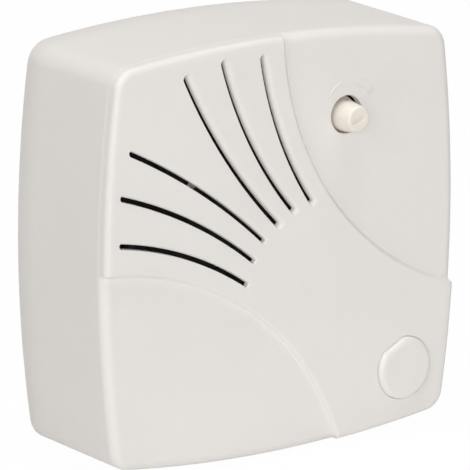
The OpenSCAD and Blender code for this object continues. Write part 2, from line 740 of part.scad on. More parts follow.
module tube(points) {
    rings = [for (i = [0 : len(points) - 1]) tube_ring(points, i)];
    n = lead_sides;
    last = len(rings) - 1;
    sides = [for (i = [0 : last - 1], j = [0 : n - 1]) let (k = (j + 1) % n)
        each [[i * n + j, i * n + k, (i + 1) * n + k], [i * n + j, (i + 1) * n + k, (i + 1) * n + j]]];
    polyhedron([for (ring = rings) each ring],
        concat(sides, [[for (j = [n - 1 : -1 : 0]) j], [for (j = [0 : n - 1]) last * n + j]]));
}

// Lead from one tag: it leaves the tag squarely, bows towards the bay and ends on its pad
module speaker_lead(side) {
    start = [-speaker_x + side * tag_x, speaker_x + tag_y, tag_z - 0.02];
    drop = tag_z - board_top - 0.04;
    route_drop = -lead_route[len(lead_route) - 1].z;
    run = speaker_pads[0].y - start.y;
    route_run = lead_route[len(lead_route) - 1].y;
    tube([for (p = lead_route) start + [side * p.x, p.y * run / route_run, p.z * drop / route_drop]]);
}

module speaker_lead_red() color("firebrick") upright() speaker_lead(-1);

module speaker_lead_black() color("black") upright() speaker_lead(1);

module circuit_board() color("darkgreen") upright() translate([0, 0, board_z]) difference() {
    linear_extrude(board_t) polygon([[bay_x, -board_half], [board_half, -board_half], [board_half, board_half],
        [-board_half, board_half], [-board_half, bay_y], [bay_x, bay_y]]);
    for (p = all_pins) translate([p.x, p.y, -past]) cylinder(d = lead_hole_d, h = board_t + 2 * past);
    for (at = board_posts) translate([at.x, at.y, -past])
        cylinder(d = board_screw_d + 2 * board_hole_gap, h = board_t + 2 * past);
    at_clamps() translate([0, 0, -past]) cylinder(r = clamp_post_r + 0.4, h = board_t + 2 * past);
    translate([screw_spacing / 2 - access_w / 2, -screw_drop - access_w / 2, -past])
        cube([board_half, access_w, board_t + 2 * past]);
}

module board_screws() color("silver") upright() for (at = board_posts) translate([at.x, at.y, board_top])
    pan_screw(board_screw_d, board_screw_l, board_head_d);

// Places one piece at each way of the screw terminal, at the clamp's left lower corner
module at_ways() for (y = terminal_ys) translate([terminal_at.x, y, board_top]) children();

terminal_clamp_z = 1.2;
terminal_clamp_x = 0.6;
terminal_screw_x = terminal_clamp_x + terminal_clamp.x / 2;

module terminal_housing() color("forestgreen") upright() difference() {
    length = terminal_ways * terminal_pitch + 2 * terminal_end;
    translate([terminal_at.x, terminal_at.y - length / 2, board_top]) cube([terminal_depth, length, terminal_h]);
    at_ways() {
        gap = terminal_clamp_gap;
        translate([-past, -terminal_clamp.y / 2 - gap, terminal_clamp_z - gap])
            cube([past + terminal_clamp_x + terminal_clamp.x + gap, terminal_clamp.y + 2 * gap,
                terminal_clamp.z + 2 * gap]);
        translate([terminal_screw_x, 0, terminal_clamp_z]) cylinder(d = terminal_head_d + 0.3, h = terminal_h);
    }
}

module terminal_clamps() color("silver") upright() at_ways() translate([terminal_clamp_x, 0, terminal_clamp_z])
    difference() {
        translate([0, -terminal_clamp.y / 2, 0]) cube(terminal_clamp);
        translate([-past, 0, terminal_clamp.z * 0.36]) rotate([0, 90, 0])
            cylinder(d = terminal_wire_d, h = terminal_clamp.x + 2 * past);
        translate([terminal_clamp.x / 2, 0, terminal_clamp.z / 2])
            cylinder(d = terminal_screw_d + 2 * screw_fit, h = terminal_clamp.z);
    }

module terminal_screws() color("silver") upright() at_ways()
    translate([terminal_screw_x, 0, terminal_clamp_z + terminal_clamp.z + 0.2]) difference() {
        union() {
            translate([0, 0, -terminal_screw_l]) cylinder(d = terminal_screw_d, h = terminal_screw_l + terminal_head_h);
            cylinder(d = terminal_head_d, h = terminal_head_h);
        }
        translate([-terminal_head_d, -terminal_driver_w / 2, terminal_head_h - terminal_driver_w])
            cube([2 * terminal_head_d, terminal_driver_w, past]);
    }

module terminal_legs() color("silver") upright() legs(terminal_pins, board_top);

// Chip with a notch at one end, centred on its place
module chip_body(at) translate([at.x, at.y, board_top + chip_stand]) difference() {
    translate([-chip.x / 2, -chip.y / 2, 0]) cube(chip);
    translate([-chip.x / 2, 0, chip.z - 0.4]) cylinder(d = 1.6, h = past);
}

// Legs of a chip, bent out from its sides and down through the board
module chip_legs(at) for (i = [0 : 3], side = [-1, 1]) translate([at.x + (i - 1.5) * pitch, at.y, 0]) {
    shoulder = board_top + chip_stand + chip.z / 2;
    reach = chip_row + chip_leg.y / 2;
    low = side > 0 ? chip.y / 2 : -reach;
    outer = side > 0 ? reach - chip_leg.y : -reach;
    translate([-chip_leg.x / 2, low, shoulder - chip_leg.y]) cube([chip_leg.x, reach - chip.y / 2, chip_leg.y]);
    translate([-chip_leg.x / 2, outer, lead_z]) cube([chip_leg.x, chip_leg.y, shoulder - lead_z]);
}

module melody_chip() color("black") upright() chip_body(melody_at);

module melody_chip_legs() color("silver") upright() chip_legs(melody_at);

module amplifier_chip() color("black") upright() chip_body(amplifier_at);

module amplifier_chip_legs() color("silver") upright() chip_legs(amplifier_at);

module smoothing_capacitors() color("midnightblue") upright() for (at = can_at) translate([at.x, at.y, board_top])
    difference() {
        cylinder(d = can_d, h = can_h);
        for (turn = [0, 90]) rotate(turn) translate([-can_d / 4, -0.15, can_h - 0.2]) cube([can_d / 2, 0.3, past]);
    }

module capacitor_legs() color("silver") upright() legs(can_pins, board_top);

module bridge_rectifier() color("black") upright()
    translate([bridge_at.x, bridge_at.y, board_top + bridge_stand]) cylinder(d = bridge_d, h = bridge_h);

module bridge_legs() color("silver") upright() legs(bridge_pins, board_top + bridge_stand);

resistor_z = board_top + resistor_d / 2 + 0.2;

module resistors() color("tan") upright() for (at = resistor_at) translate([at.x, at.y, resistor_z]) rotate([0, 90, 0]) {
    cylinder(d = resistor_d - resistor_waist, h = resistor_l, center = true);
    for (side = [-1, 1]) translate([0, 0, side * (resistor_l - resistor_cap_l) / 2])
        cylinder(d = resistor_d, h = resistor_cap_l, center = true);
}

module resistor_leads() color("silver") upright() for (at = resistor_at, side = [-1, 1])
    translate([at.x, at.y, 0]) {
        reach = resistor_span / 2;
        translate([side * (reach + resistor_l / 2) / 2, 0, resistor_z]) rotate([0, 90, 0])
            cylinder(d = lead_d, h = reach - resistor_l / 2, center = true);
        translate([side * reach, 0, lead_z]) cylinder(d = lead_d, h = resistor_z + lead_d / 2 - lead_z);
    }

disc_z = board_top + disc_stand + disc_d / 2;

module ceramic_capacitors() color("chocolate") upright() for (at = disc_at)
    translate([at.x, at.y, disc_z]) rotate([90, 0, 0]) cylinder(d = disc_d, h = disc_t, center = true);

module ceramic_legs() color("silver") upright() legs(disc_pins, board_top + disc_stand + 0.1);

module driver_transistor() color("black") upright()
    translate([transistor_at.x, transistor_at.y, board_top + transistor_stand]) intersection() {
        cylinder(d = transistor_d, h = transistor_h);
        translate([-transistor_d, -transistor_d / 2 + 1.1, 0]) cube([2 * transistor_d, transistor_d, transistor_h]);
    }

module transistor_legs() color("silver") upright() legs(transistor_pins, board_top + transistor_stand);

front_cover();
back_plate();
button_cap();
switch_plunger();
switch_body();
switch_frame();
switch_legs();
volume_spindle();
volume_wiper();
volume_case();
volume_wafer();
volume_legs();
speaker_basket();
speaker_magnet();
speaker_top_plate();
speaker_yoke();
speaker_cone();
speaker_dust_cap();
coil_former();
voice_coil();
glue_dabs();
speaker_spider();
speaker_surround();
speaker_gasket();
speaker_tag_strip();
speaker_tags();
clamp_washers();
clamp_screws();
speaker_lead_red();
speaker_lead_black();
circuit_board();
board_screws();
terminal_housing();
terminal_clamps();
terminal_screws();
terminal_legs();
melody_chip();
melody_chip_legs();
amplifier_chip();
amplifier_chip_legs();
smoothing_capacitors();
capacitor_legs();
bridge_rectifier();
bridge_legs();
resistors();
resistor_leads();
ceramic_capacitors();
ceramic_legs();
driver_transistor();
transistor_legs();
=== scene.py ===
"""Looks of a wall-mounted doorbell chime box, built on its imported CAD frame.

Sizes are in millimetres in the front view of the box: x to the right, y up and z out from the wall.
row() turns such a point into the frame's metres, where the front faces -Y.
"""

import json
import logging
from dataclasses import dataclass, field
from enum import Enum
from functools import partial
from math import asin, atan2, cos, hypot, pi, radians, sin, sqrt, tan
from typing import Any, Callable, Sequence

import bmesh
import bpy
import numpy as np
from bpy.types import Material, Mesh, NodeSocket, NodeTree, Object
from mathutils import Matrix, Vector
from mathutils.geometry import delaunay_2d_cdt

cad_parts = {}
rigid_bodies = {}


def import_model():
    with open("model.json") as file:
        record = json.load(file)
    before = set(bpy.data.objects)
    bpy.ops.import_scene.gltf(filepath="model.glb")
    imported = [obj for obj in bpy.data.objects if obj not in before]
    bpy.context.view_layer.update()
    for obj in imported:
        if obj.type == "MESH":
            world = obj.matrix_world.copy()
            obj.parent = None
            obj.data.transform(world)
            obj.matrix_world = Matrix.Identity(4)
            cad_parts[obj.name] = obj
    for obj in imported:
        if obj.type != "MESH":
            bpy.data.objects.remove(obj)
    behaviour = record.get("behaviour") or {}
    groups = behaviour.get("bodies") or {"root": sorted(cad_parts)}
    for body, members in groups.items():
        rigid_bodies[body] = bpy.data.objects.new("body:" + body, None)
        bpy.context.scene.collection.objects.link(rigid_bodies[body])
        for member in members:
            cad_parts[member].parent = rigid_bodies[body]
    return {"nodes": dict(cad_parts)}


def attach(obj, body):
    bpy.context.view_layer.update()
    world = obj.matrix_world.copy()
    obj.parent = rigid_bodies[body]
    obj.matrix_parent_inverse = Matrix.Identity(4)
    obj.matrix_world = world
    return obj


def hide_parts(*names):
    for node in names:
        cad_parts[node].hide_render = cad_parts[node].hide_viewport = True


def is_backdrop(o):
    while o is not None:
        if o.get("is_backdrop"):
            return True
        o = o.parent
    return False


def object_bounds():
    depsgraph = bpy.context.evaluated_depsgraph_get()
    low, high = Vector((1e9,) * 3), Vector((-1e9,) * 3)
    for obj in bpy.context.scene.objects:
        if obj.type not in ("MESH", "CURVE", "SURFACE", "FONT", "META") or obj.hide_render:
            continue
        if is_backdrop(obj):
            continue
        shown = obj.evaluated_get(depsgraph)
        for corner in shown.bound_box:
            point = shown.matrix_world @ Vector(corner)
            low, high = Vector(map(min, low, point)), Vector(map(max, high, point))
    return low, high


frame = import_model()
CAD_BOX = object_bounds()

LOG = logging.getLogger("chime_box")
MM = 0.001
Point = tuple[float, float]
Point3 = tuple[float, float, float]
Sizes = tuple[float, ...]
Placing = Callable[[float, float, float], Point3]


class Body(Enum):
    """The CAD bodies that pieces ride on."""

    BASE = "base"
    COVER = "cover"
    SPINDLE = "spindle"
    BUTTON = "button"
    CONE = "cone"


class Pattern(Enum):
    """How the fine relief of a finish is laid out."""

    GRAIN = "grain"
    BRUSHED = "brushed"
    WOUND = "wound"
    WEAVE = "weave"
    CELLS = "cells"


def row(x: float, y: float, z: float) -> Vector:
    """Point of the front view in the frame's metres."""
    return Vector((x, -z, y)) * MM


def smooth_share(value: np.ndarray) -> np.ndarray:
    """Smooth rise from 0 to 1 over the unit stretch."""
    share = np.clip(value, 0.0, 1.0)
    return share * share * (3.0 - 2.0 * share)


def inside(points: np.ndarray, loop: np.ndarray) -> np.ndarray:
    """Tell which points lie in a closed loop.

    Args:
        points: Rows of x and y.
        loop: Corners of the loop in order.

    Returns:
        One truth value for each point.
    """
    result = np.zeros(len(points), bool)
    for start, end in zip(loop, np.roll(loop, -1, axis=0)):
        if start[1] == end[1]:
            continue
        crosses = (start[1] > points[:, 1]) != (end[1] > points[:, 1])
        at = start[0] + (points[:, 1] - start[1]) * (end[0] - start[0]) / (end[1] - start[1])
        result ^= crosses & (points[:, 0] < at)
    return result


def rounded(corners: Sequence[Point3], steps: int = 4) -> list[Point]:
    """Turn the corners of a profile into small arcs.

    Args:
        corners: Radius, height and rounding of each corner.
        steps: Number of stretches in an arc.

    Returns:
        Points of the rounded profile.
    """
    points: list[Point] = []
    last = len(corners) - 1
    for i, (r, z, rounding) in enumerate(corners):
        here = np.array([r, z])
        if rounding <= 0 or i in (0, last):
            points.append((r, z))
            continue
        before = np.array(corners[i - 1][:2]) - here
        after = np.array(corners[i + 1][:2]) - here
        reach = min(rounding, 0.48 * np.linalg.norm(before), 0.48 * np.linalg.norm(after))
        start = here + before / np.linalg.norm(before) * reach
        end = here + after / np.linalg.norm(after) * reach
        for k in range(steps + 1):
            t = k / steps
            point = start * (1 - t) ** 2 + here * 2 * t * (1 - t) + end * t * t
            points.append((float(point[0]), float(point[1])))
    return points


def ring_profile(inner: float, outer: float, low: float, high: float, edges: Point) -> list[Point]:
    """Profile of a ring or disc, with roundings on its lower and its upper edge."""
    return rounded([(inner, low, 0), (outer, low, edges[0]), (outer, high, edges[1]), (inner, high, 0)])


class Wiring:
    """A node tree, with shorthands for adding nodes and joining them."""

    def __init__(self, tree: NodeTree) -> None:
        """Take the tree that the nodes go into."""
        self.tree = tree

    def add(self, kind: str, inputs: dict[str | int, Any] | None = None, **settings: Any) -> Any:
        """Add a node.

        Args:
            kind: Type of the node.
            inputs: What goes into its inputs, as for feed().
            settings: Its other properties.

        Returns:
            The node.
        """
        node = self.tree.nodes.new(kind)
        for key, value in settings.items():
            setattr(node, key, value)
        self.feed(node, inputs or {})
        return node

    def feed(self, node: Any, inputs: dict[str | int, Any]) -> None:
        """Fill the inputs of a node.

        Args:
            node: The node.
            inputs: For each input, a value or the output of another node.
        """
        for key, value in inputs.items():
            if isinstance(value, NodeSocket):
                self.tree.links.new(value, node.inputs[key])
            else:
                node.inputs[key].default_value = value


BRUSHED_SCALE = (0.06, 1.0, 1.0)
RELIEF_DETAIL = 3.0
CLOUD_DETAIL = 2.0
NOISE_ROUGHNESS = 0.55
BAND_WOBBLE = 0.4
TEXTURE_MIDDLE = (0.3, 0.7)


@dataclass(frozen=True)
class Finish:
    """A surface finish with a procedural material on Object coordinates.

    The grain, the relief and the clouds are sizes. The variation and the polish say how much the colour and
    the roughness change. The slot is the record's, where it isn't the finish's own name.
    """

    name: str
    colour: Point3
    roughness: float = 0.5
    metallic: float = 0.0
    specular: float = 0.5
    pattern: Pattern = Pattern.GRAIN
    grain: float = 0.5
    relief: float = 0.006
    cloud: float = 3.0
    variation: float = 0.1
    polish: float = 0.08
    slot: str = ""

    def material(self) -> Material:
        """Give the material, which is made on first use."""
        known = bpy.data.materials.get(self.name + "_finish")
        return known if known else self.make()

    def make(self) -> Material:
        """Build the node tree.

        Returns:
            The new material.
        """
        material = bpy.data.materials.new(self.name + "_finish")
        material.use_nodes = True
        wiring = Wiring(material.node_tree)
        place = wiring.add("ShaderNodeTexCoord").outputs["Object"]
        height = self.height(wiring, place)
        bump = wiring.add("ShaderNodeBump", {"Strength": 1.0, "Distance": self.relief * MM, "Height": height})
        cloud = self.ranged(wiring, self.noise(wiring, place, self.cloud, CLOUD_DETAIL), 0.0, 1.0)
        dark, bright = ([*(min(1.0, c * (1.0 + change)) for c in self.colour), 1.0]
                        for change in (-self.variation, self.variation))
        mix = wiring.add("ShaderNodeMix", {0: cloud, 6: dark, 7: bright}, data_type="RGBA")
        half = self.polish / 2
        gloss = self.ranged(wiring, height, self.roughness + half, self.roughness - half)
        wiring.feed(material.node_tree.nodes["Principled BSDF"], {
            "Base Color": mix.outputs[2], "Roughness": gloss, "Metallic": self.metallic,
            "Specular IOR Level": self.specular, "Normal": bump.outputs["Normal"]})
        return material

    def height(self, wiring: Wiring, place: Any) -> Any:
        """Lay out the fine relief.

        Args:
            wiring: Tree of the material.
            place: Output with the Object coordinates.

        Returns:
            Output with the height.
        """
        if self.pattern is Pattern.WOUND:
            return self.wave(wiring, place, "Y")
        if self.pattern is Pattern.WEAVE:
            threads = {k: self.wave(wiring, place, axis) for k, axis in enumerate("XZ")}
            return wiring.add("ShaderNodeMath", threads, operation="MAXIMUM").outputs[0]
        if self.pattern is Pattern.CELLS:
            cells = wiring.add("ShaderNodeTexVoronoi", {"Scale": 1.0 / (self.grain * MM), "Vector": place})
            return cells.outputs["Distance"]
        if self.pattern is Pattern.BRUSHED:
            stretched = wiring.add("ShaderNodeMapping", {"Scale": BRUSHED_SCALE, "Vector": place})
            place = stretched.outputs["Vector"]
        return self.noise(wiring, place, self.grain, RELIEF_DETAIL)

    @staticmethod
    def noise(wiring: Wiring, place: Any, size: float, detail: float) -> Any:
        """Add a noise texture.

        Args:
            wiring: Tree of the material.
            place: Output with the coordinates.
            size: Width of one blotch.
            detail: Number of finer layers.

        Returns:
            Output with the noise.
        """
        texture = wiring.add("ShaderNodeTexNoise", {
            "Scale": 1.0 / (size * MM), "Detail": detail, "Roughness": NOISE_ROUGHNESS, "Vector": place})
        return texture.outputs["Fac"]

    def wave(self, wiring: Wiring, place: Any, direction: str) -> Any:
        """Add even bands as wide as the grain.

        Args:
            wiring: Tree of the material.
            place: Output with the coordinates.
            direction: Axis across the bands.

        Returns:
            Output with the height of the bands.
        """
        inputs = {"Scale": pi / (10.0 * self.grain * MM), "Distortion": BAND_WOBBLE, "Vector": place}
        return wiring.add("ShaderNodeTexWave", inputs, bands_direction=direction).outputs["Fac"]

    @staticmethod
    def ranged(wiring: Wiring, value: Any, low: float, high: float) -> Any:
        """Spread the middle of a texture over a range.

        Args:
            wiring: Tree of the material.
            value: Output with the texture.
            low: Result where the texture is dark.
            high: Result where it is bright.

        Returns:
            Output with the spread value.
        """
        dark, bright = TEXTURE_MIDDLE
        spread = wiring.add("ShaderNodeMapRange", {
            "Value": value, "From Min": dark, "From Max": bright, "To Min": low, "To Max": high})
        return spread.outputs["Result"]


COVER_PLASTIC = Finish("cover_plastic", (0.755, 0.724, 0.690), 0.52, grain=0.42, relief=0.042, cloud=18,
                       variation=0.010)
PLATE_PLASTIC = Finish("plate_plastic", (0.700, 0.680, 0.650), 0.52, grain=0.6, relief=0.008, cloud=15,
                       variation=0.02)
SPINDLE_PLASTIC = Finish("spindle_plastic", (0.780, 0.730, 0.655), 0.42, variation=0.02)
BLACK_PLASTIC = Finish("black_plastic", (0.022, 0.022, 0.024), 0.55, grain=0.16, relief=0.012, cloud=4,
                       variation=0.18)
BOARD_LAMINATE = Finish("board_laminate", (0.030, 0.150, 0.062), 0.34, cloud=6, variation=0.20)
PHENOLIC = Finish("phenolic", (0.240, 0.110, 0.045), 0.48, grain=0.25, relief=0.008, cloud=2, variation=0.22)
TINNED_METAL = Finish("tinned_metal", (0.72, 0.72, 0.70), 0.30, 1.0, cloud=1.5)
ZINC_STEEL = Finish("zinc_steel", (0.62, 0.63, 0.65), 0.34, 1.0, pattern=Pattern.BRUSHED, grain=0.10,
                    relief=0.004, cloud=2.5, variation=0.14, polish=0.16)
FERRITE = Finish("ferrite", (0.060, 0.060, 0.066), 0.68, grain=0.20, relief=0.02, variation=0.22)
CONE_PAPER = Finish("cone_paper", (0.030, 0.030, 0.030), 0.88, specular=0.25, grain=0.28, relief=0.035,
                    cloud=2.5, variation=0.30)
COIL_PAPER = Finish("coil_paper", (0.420, 0.270, 0.130), 0.70, grain=0.30, relief=0.012, cloud=2,
                    variation=0.15)
COPPER = Finish("copper", (0.72, 0.32, 0.14), 0.30, 1.0, pattern=Pattern.WOUND, grain=0.14, relief=0.03,
                cloud=2, variation=0.12)
GLUE = Finish("glue", (0.930, 0.820, 0.670), 0.35, grain=0.8, relief=0.03, cloud=0.9)
SPIDER_CLOTH = Finish("spider_cloth", (0.450, 0.270, 0.070), 0.80, pattern=Pattern.WEAVE, grain=0.30,
                      relief=0.04, variation=0.14)
FOAM = Finish("foam", (0.022, 0.022, 0.023), 0.92, specular=0.2, pattern=Pattern.CELLS, grain=0.30,
              relief=0.06, cloud=2, variation=0.30)
BRASS = Finish("brass", (0.70, 0.50, 0.19), 0.32, 1.0, pattern=Pattern.BRUSHED, grain=0.10, relief=0.004,
               cloud=1.5, variation=0.12)
WIRE_RED = Finish("wire_red", (0.460, 0.022, 0.018), 0.40)
WIRE_BLACK = Finish("wire_black", (0.016, 0.016, 0.017), 0.40, variation=0.15)
TERMINAL_PLASTIC = Finish("terminal_plastic", (0.035, 0.215, 0.100), 0.38, relief=0.008, cloud=4,
                          variation=0.08)
CAN_SLEEVE = Finish("can_sleeve", (0.018, 0.030, 0.100), 0.30, grain=0.8, relief=0.01, cloud=5)
CAN_STRIPE = Finish("can_stripe", (0.420, 0.450, 0.520), 0.32, grain=0.8, relief=0.008, variation=0.06)
CAN_METAL = Finish("can_metal", (0.80, 0.80, 0.81), 0.30, 1.0, grain=0.25, relief=0.004, cloud=2,
                   variation=0.06, slot="tinned_metal")
RESISTOR_LACQUER = Finish("resistor_lacquer", (0.560, 0.410, 0.210), 0.28, grain=0.6, relief=0.012, cloud=1.5,
                          variation=0.08)
RING_INKS = [
    Finish("ring_" + ink, colour, roughness, metallic, grain=0.6, relief=0.01, cloud=1)
    for ink, colour, roughness, metallic in (
        ("brown", (0.110, 0.040, 0.016), 0.28, 0.0), ("red", (0.420, 0.020, 0.016), 0.28, 0.0),
        ("orange", (0.640, 0.170, 0.020), 0.28, 0.0), ("gold", (0.60, 0.40, 0.12), 0.32, 0.8))]
CERAMIC_LACQUER = Finish("ceramic_lacquer", (0.420, 0.150, 0.025), 0.32, relief=0.02, cloud=1.5,
                         variation=0.14)
LEGEND_INK = Finish("legend_ink", (0.700, 0.720, 0.690), 0.55, grain=0.3, cloud=1, variation=0.06,
                    slot="board_laminate")
SOLDER = Finish("solder", (0.66, 0.66, 0.67), 0.24, 1.0, grain=0.4, relief=0.012, cloud=0.8,
                slot="tinned_metal")


class Shell:
    """Points and faces of a piece in the front view, gathered until they become a mesh."""

    def __init__(self) -> None:
        """Start with nothing."""
        self.points: list[Point3] = []
        self.faces: list[tuple[int, ...]] = []
        self.kinds: list[int] = []
        self.kind = 0

    def add(self, points: Sequence[Sequence[float]]) -> list[int]:
        """Take in points of the front view and give their numbers."""
        self.points.extend((float(x), float(y), float(z)) for x, y, z in points)
        return list(range(len(self.points) - len(points), len(self.points)))

    def face(self, *corners: int) -> None:
        """Take in a face.

        Args:
            corners: Numbers of its points; repeated ones count once.
        """
        kept = tuple(dict.fromkeys(corners))
        if len(kept) > 2:
            self.faces.append(kept)
            self.kinds.append(self.kind)

    def bridge(self, low: Sequence[int], high: Sequence[int]) -> None:
        """Join two closed rings of the same length by a strip."""
        for corners in zip(low, [*low[1:], low[0]], [*high[1:], high[0]], high):
            self.face(*corners)

    def bridges(self, rings: Sequence[Sequence[int]]) -> None:
        """Join each ring to the next."""
        for low, high in zip(rings, rings[1:]):
            self.bridge(low, high)

    def ring(self, loop: np.ndarray, z: float) -> list[int]:
        """Take in a level loop and give its numbers."""
        return self.add([(x, y, z) for x, y in loop])

    def stack(self, loops: Sequence[tuple[np.ndarray, float]]) -> None:
        """Build a closed piece from level loops, with a flat end at both ends.

        Args:
            loops: Each loop with its height.
        """
        rings = [self.ring(loop, z) for loop, z in loops]
        self.bridges(rings)
        for ring, (loop, z) in ((rings[0], loops[0]), (rings[-1], loops[-1])):
            centre = self.add([(*np.mean(loop, axis=0), z)])[0]
            for i, j in zip(ring, [*ring[1:], ring[0]]):
                self.face(i, j, centre)

    def lathe(self, profile: Sequence[Point], place: Placing, closed: bool, steps: int = 72,
              kind_at: Callable[[float, float], int] | None = None) -> None:
        """Turn a profile about an axis.

        Args:
            profile: Radius and height of each point.
            place: Turns two points across and one along the axis into the front view.
            closed: Whether the last point joins the first, as in a ring.
            steps: Number of stretches round the axis.
            kind_at: Gives the finish by turn and height.
        """
        turns = [2 * pi * k / steps for k in range(steps)]
        rings = []
        for r, z in profile:
            if r < 1e-6:
                rings.append(self.add([place(0.0, 0.0, z)]) * steps)
            else:
                rings.append(self.add([place(r * cos(a), r * sin(a), z) for a in turns]))
        count = len(profile)
        for k in range(count if closed else count - 1):
            low, high = rings[k], rings[(k + 1) % count]
            middle = (profile[k][1] + profile[(k + 1) % count][1]) / 2
            for i in range(steps):
                j = (i + 1) % steps
                if kind_at:
                    self.kind = kind_at(turns[i], middle)
                self.face(low[i], low[j], high[j], high[i])
        self.kind = 0

    def mesh(self, name: str, finishes: Sequence[Finish]) -> Mesh:
        """Make the mesh.

        Args:
            name: Name of the mesh.
            finishes: Finishes of its faces, in the order of their kinds.

        Returns:
            The mesh, before its doubles are merged and its faces turned outwards.
        """
        mesh = bpy.data.meshes.new(name)
        mesh.from_pydata([row(*p) for p in self.points], [], self.faces)
        mesh.polygons.foreach_set("material_index", self.kinds)
        for finish in finishes:
            mesh.materials.append(finish.material())
        return mesh

    def piece(self, name: str, finishes: Sequence[Finish], body: Body, *nodes: str,
              sharp: float = 40.0) -> Object:
        """Make a finished piece and fix it to the frame.

        Args:
            name: Name of the piece.
            finishes: Finishes of its faces.
            body: CAD body that it rides on.
            nodes: CAD nodes that it stands for.
            sharp: Angle in degrees past which an edge stays sharp.

        Returns:
            The piece.
        """
        mesh = self.mesh(name, finishes)
        clean(mesh, sharp)
        return settle(name, mesh, body, finishes[0], *nodes)


def about(x: float, y: float) -> Placing:
    """Placing for a piece turned about an axis square to the wall."""
    return lambda u, v, w: (x + u, y + v, w)


def link(name: str, mesh: Mesh) -> Object:
    """Put a mesh into the scene as an object at the origin.

    Args:
        name: Name of the object.
        mesh: Its mesh.

    Returns:
        The object.
    """
    piece = bpy.data.objects.new(name, mesh)
    bpy.context.scene.collection.objects.link(piece)
    return piece


def clean(mesh: Mesh, sharp: float = 40.0) -> None:
    """Merge doubles, turn faces outwards and shade smooth up to an angle.

    Args:
        mesh: Mesh to finish.
        sharp: Angle in degrees past which an edge stays sharp.
    """
    work = bmesh.new()
    work.from_mesh(mesh)
    bmesh.ops.remove_doubles(work, verts=work.verts, dist=1e-7)
    bmesh.ops.recalc_face_normals(work, faces=work.faces)
    work.to_mesh(mesh)
    work.free()
    mesh.shade_smooth()
    mesh.set_sharp_from_angle(angle=radians(sharp))


def soften(mesh: Mesh, width: float, angle: float = 35.0, segments: int = 2) -> None:
    """Round off the sharp edges of a mesh.

    Args:
        mesh: Mesh to change.
        width: Width of the rounding.
        angle: Least angle in degrees of an edge that is rounded.
        segments: Number of stretches across a rounding.
    """
    work = bmesh.new()
    work.from_mesh(mesh)
    bmesh.ops.remove_doubles(work, verts=work.verts, dist=2e-6)
    bmesh.ops.dissolve_limit(work, angle_limit=radians(0.5), verts=work.verts, edges=work.edges)
    least = radians(angle)
    edges = [e for e in work.edges if len(e.link_faces) == 2 and e.calc_face_angle(0.0) > least]
    bmesh.ops.bevel(work, geom=edges, offset=width * MM, segments=segments, profile=0.5, affect="EDGES",
                    clamp_overlap=True)
    bmesh.ops.triangulate(work, faces=[f for f in work.faces if len(f.verts) > 4])
    work.to_mesh(mesh)
    work.free()
    clean(mesh)


def carve(name: str, body: Mesh, cutter: Mesh) -> Mesh:
    """Cut one closed mesh out of another.

    Args:
        name: Name of the result.
        body: Mesh that is cut.
        cutter: Mesh that is taken away.

    Returns:
        The mesh that is left.
    """
    for mesh in (body, cutter):
        clean(mesh)
    piece = link(name + "_blank", body)
    tool = link(name + "_tool", cutter)
    modifier = piece.modifiers.new("cut", "BOOLEAN")
    modifier.operation = "DIFFERENCE"
    modifier.solver = "EXACT"
    modifier.object = tool
    bpy.context.view_layer.update()
    result = bpy.data.meshes.new_from_object(piece.evaluated_get(bpy.context.evaluated_depsgraph_get()))
    for spent in (piece, tool):
        bpy.data.objects.remove(spent)
    result.name = name
    return result


def bars(boxes: Sequence[tuple[Sequence[Point], float, float]]) -> Mesh:
    """Make upright bars as cutters.

    Args:
        boxes: Corners, foot and top of each bar.

    Returns:
        A mesh with one closed bar for each box.
    """
    shell = Shell()
    for corners, low, high in boxes:
        shell.stack([(np.array(corners), low), (np.array(corners), high)])
    return shell.mesh("bars", [])


def beside(at: Point, r: float, turn: float) -> Point:
    """Point at a distance and a turn in degrees from another."""
    return (at[0] + r * cos(radians(turn)), at[1] + r * sin(radians(turn)))


def turned_box(at: Point, turn: float, length: float, width: float) -> list[Point]:
    """Give the corners of a rectangle.

    Args:
        at: Its middle.
        turn: Its turn in degrees.
        length: Its length, along x before the turn.
        width: Its width.

    Returns:
        The four corners in order.
    """
    c, s = cos(radians(turn)), sin(radians(turn))
    x, y = length / 2, width / 2
    return [(at[0] + u * c - v * s, at[1] + u * s + v * c) for u, v in ((-x, -y), (x, -y), (x, y), (-x, y))]


def circle(at: Point, r: float, steps: int) -> np.ndarray:
    """Points of a circle about a point."""
    angles = np.linspace(0, 2 * pi, steps + 1)[:-1]
    return np.column_stack([at[0] + r * np.cos(angles), at[1] + r * np.sin(angles)])


def keyed_round(at: Point, r: float, flat: float, turn: float, steps: int = 96) -> np.ndarray:
    """Give a round with a flat on one side.

    Args:
        at: Its middle.
        r: Its radius.
        flat: Distance of the flat from the middle.
        turn: Where the flat faces, in degrees.
        steps: Number of points.

    Returns:
        Points of the closed edge.
    """
    angles = np.linspace(0, 2 * pi, steps + 1)[:-1]
    radius = np.full(steps, r)
    facing = np.cos(angles) > 0.1
    radius[facing] = np.minimum(r, flat / np.cos(angles[facing]))
    angles = angles + radians(turn)
    return np.column_stack([at[0] + radius * np.cos(angles), at[1] + radius * np.sin(angles)])


def rounded_rim(foot: Point, r: float, turns: np.ndarray) -> list[Point]:
    """Give the profile of a rounded rim.

    Args:
        foot: Inset and height where the rounding starts.
        r: Its radius.
        turns: Angles in degrees, from 0 at the wall to 90 at the face.

    Returns:
        Inset and height at each angle.
    """
    return [(foot[0] + r * (1 - cos(a)), foot[1] + r * sin(a)) for a in np.radians(turns)]


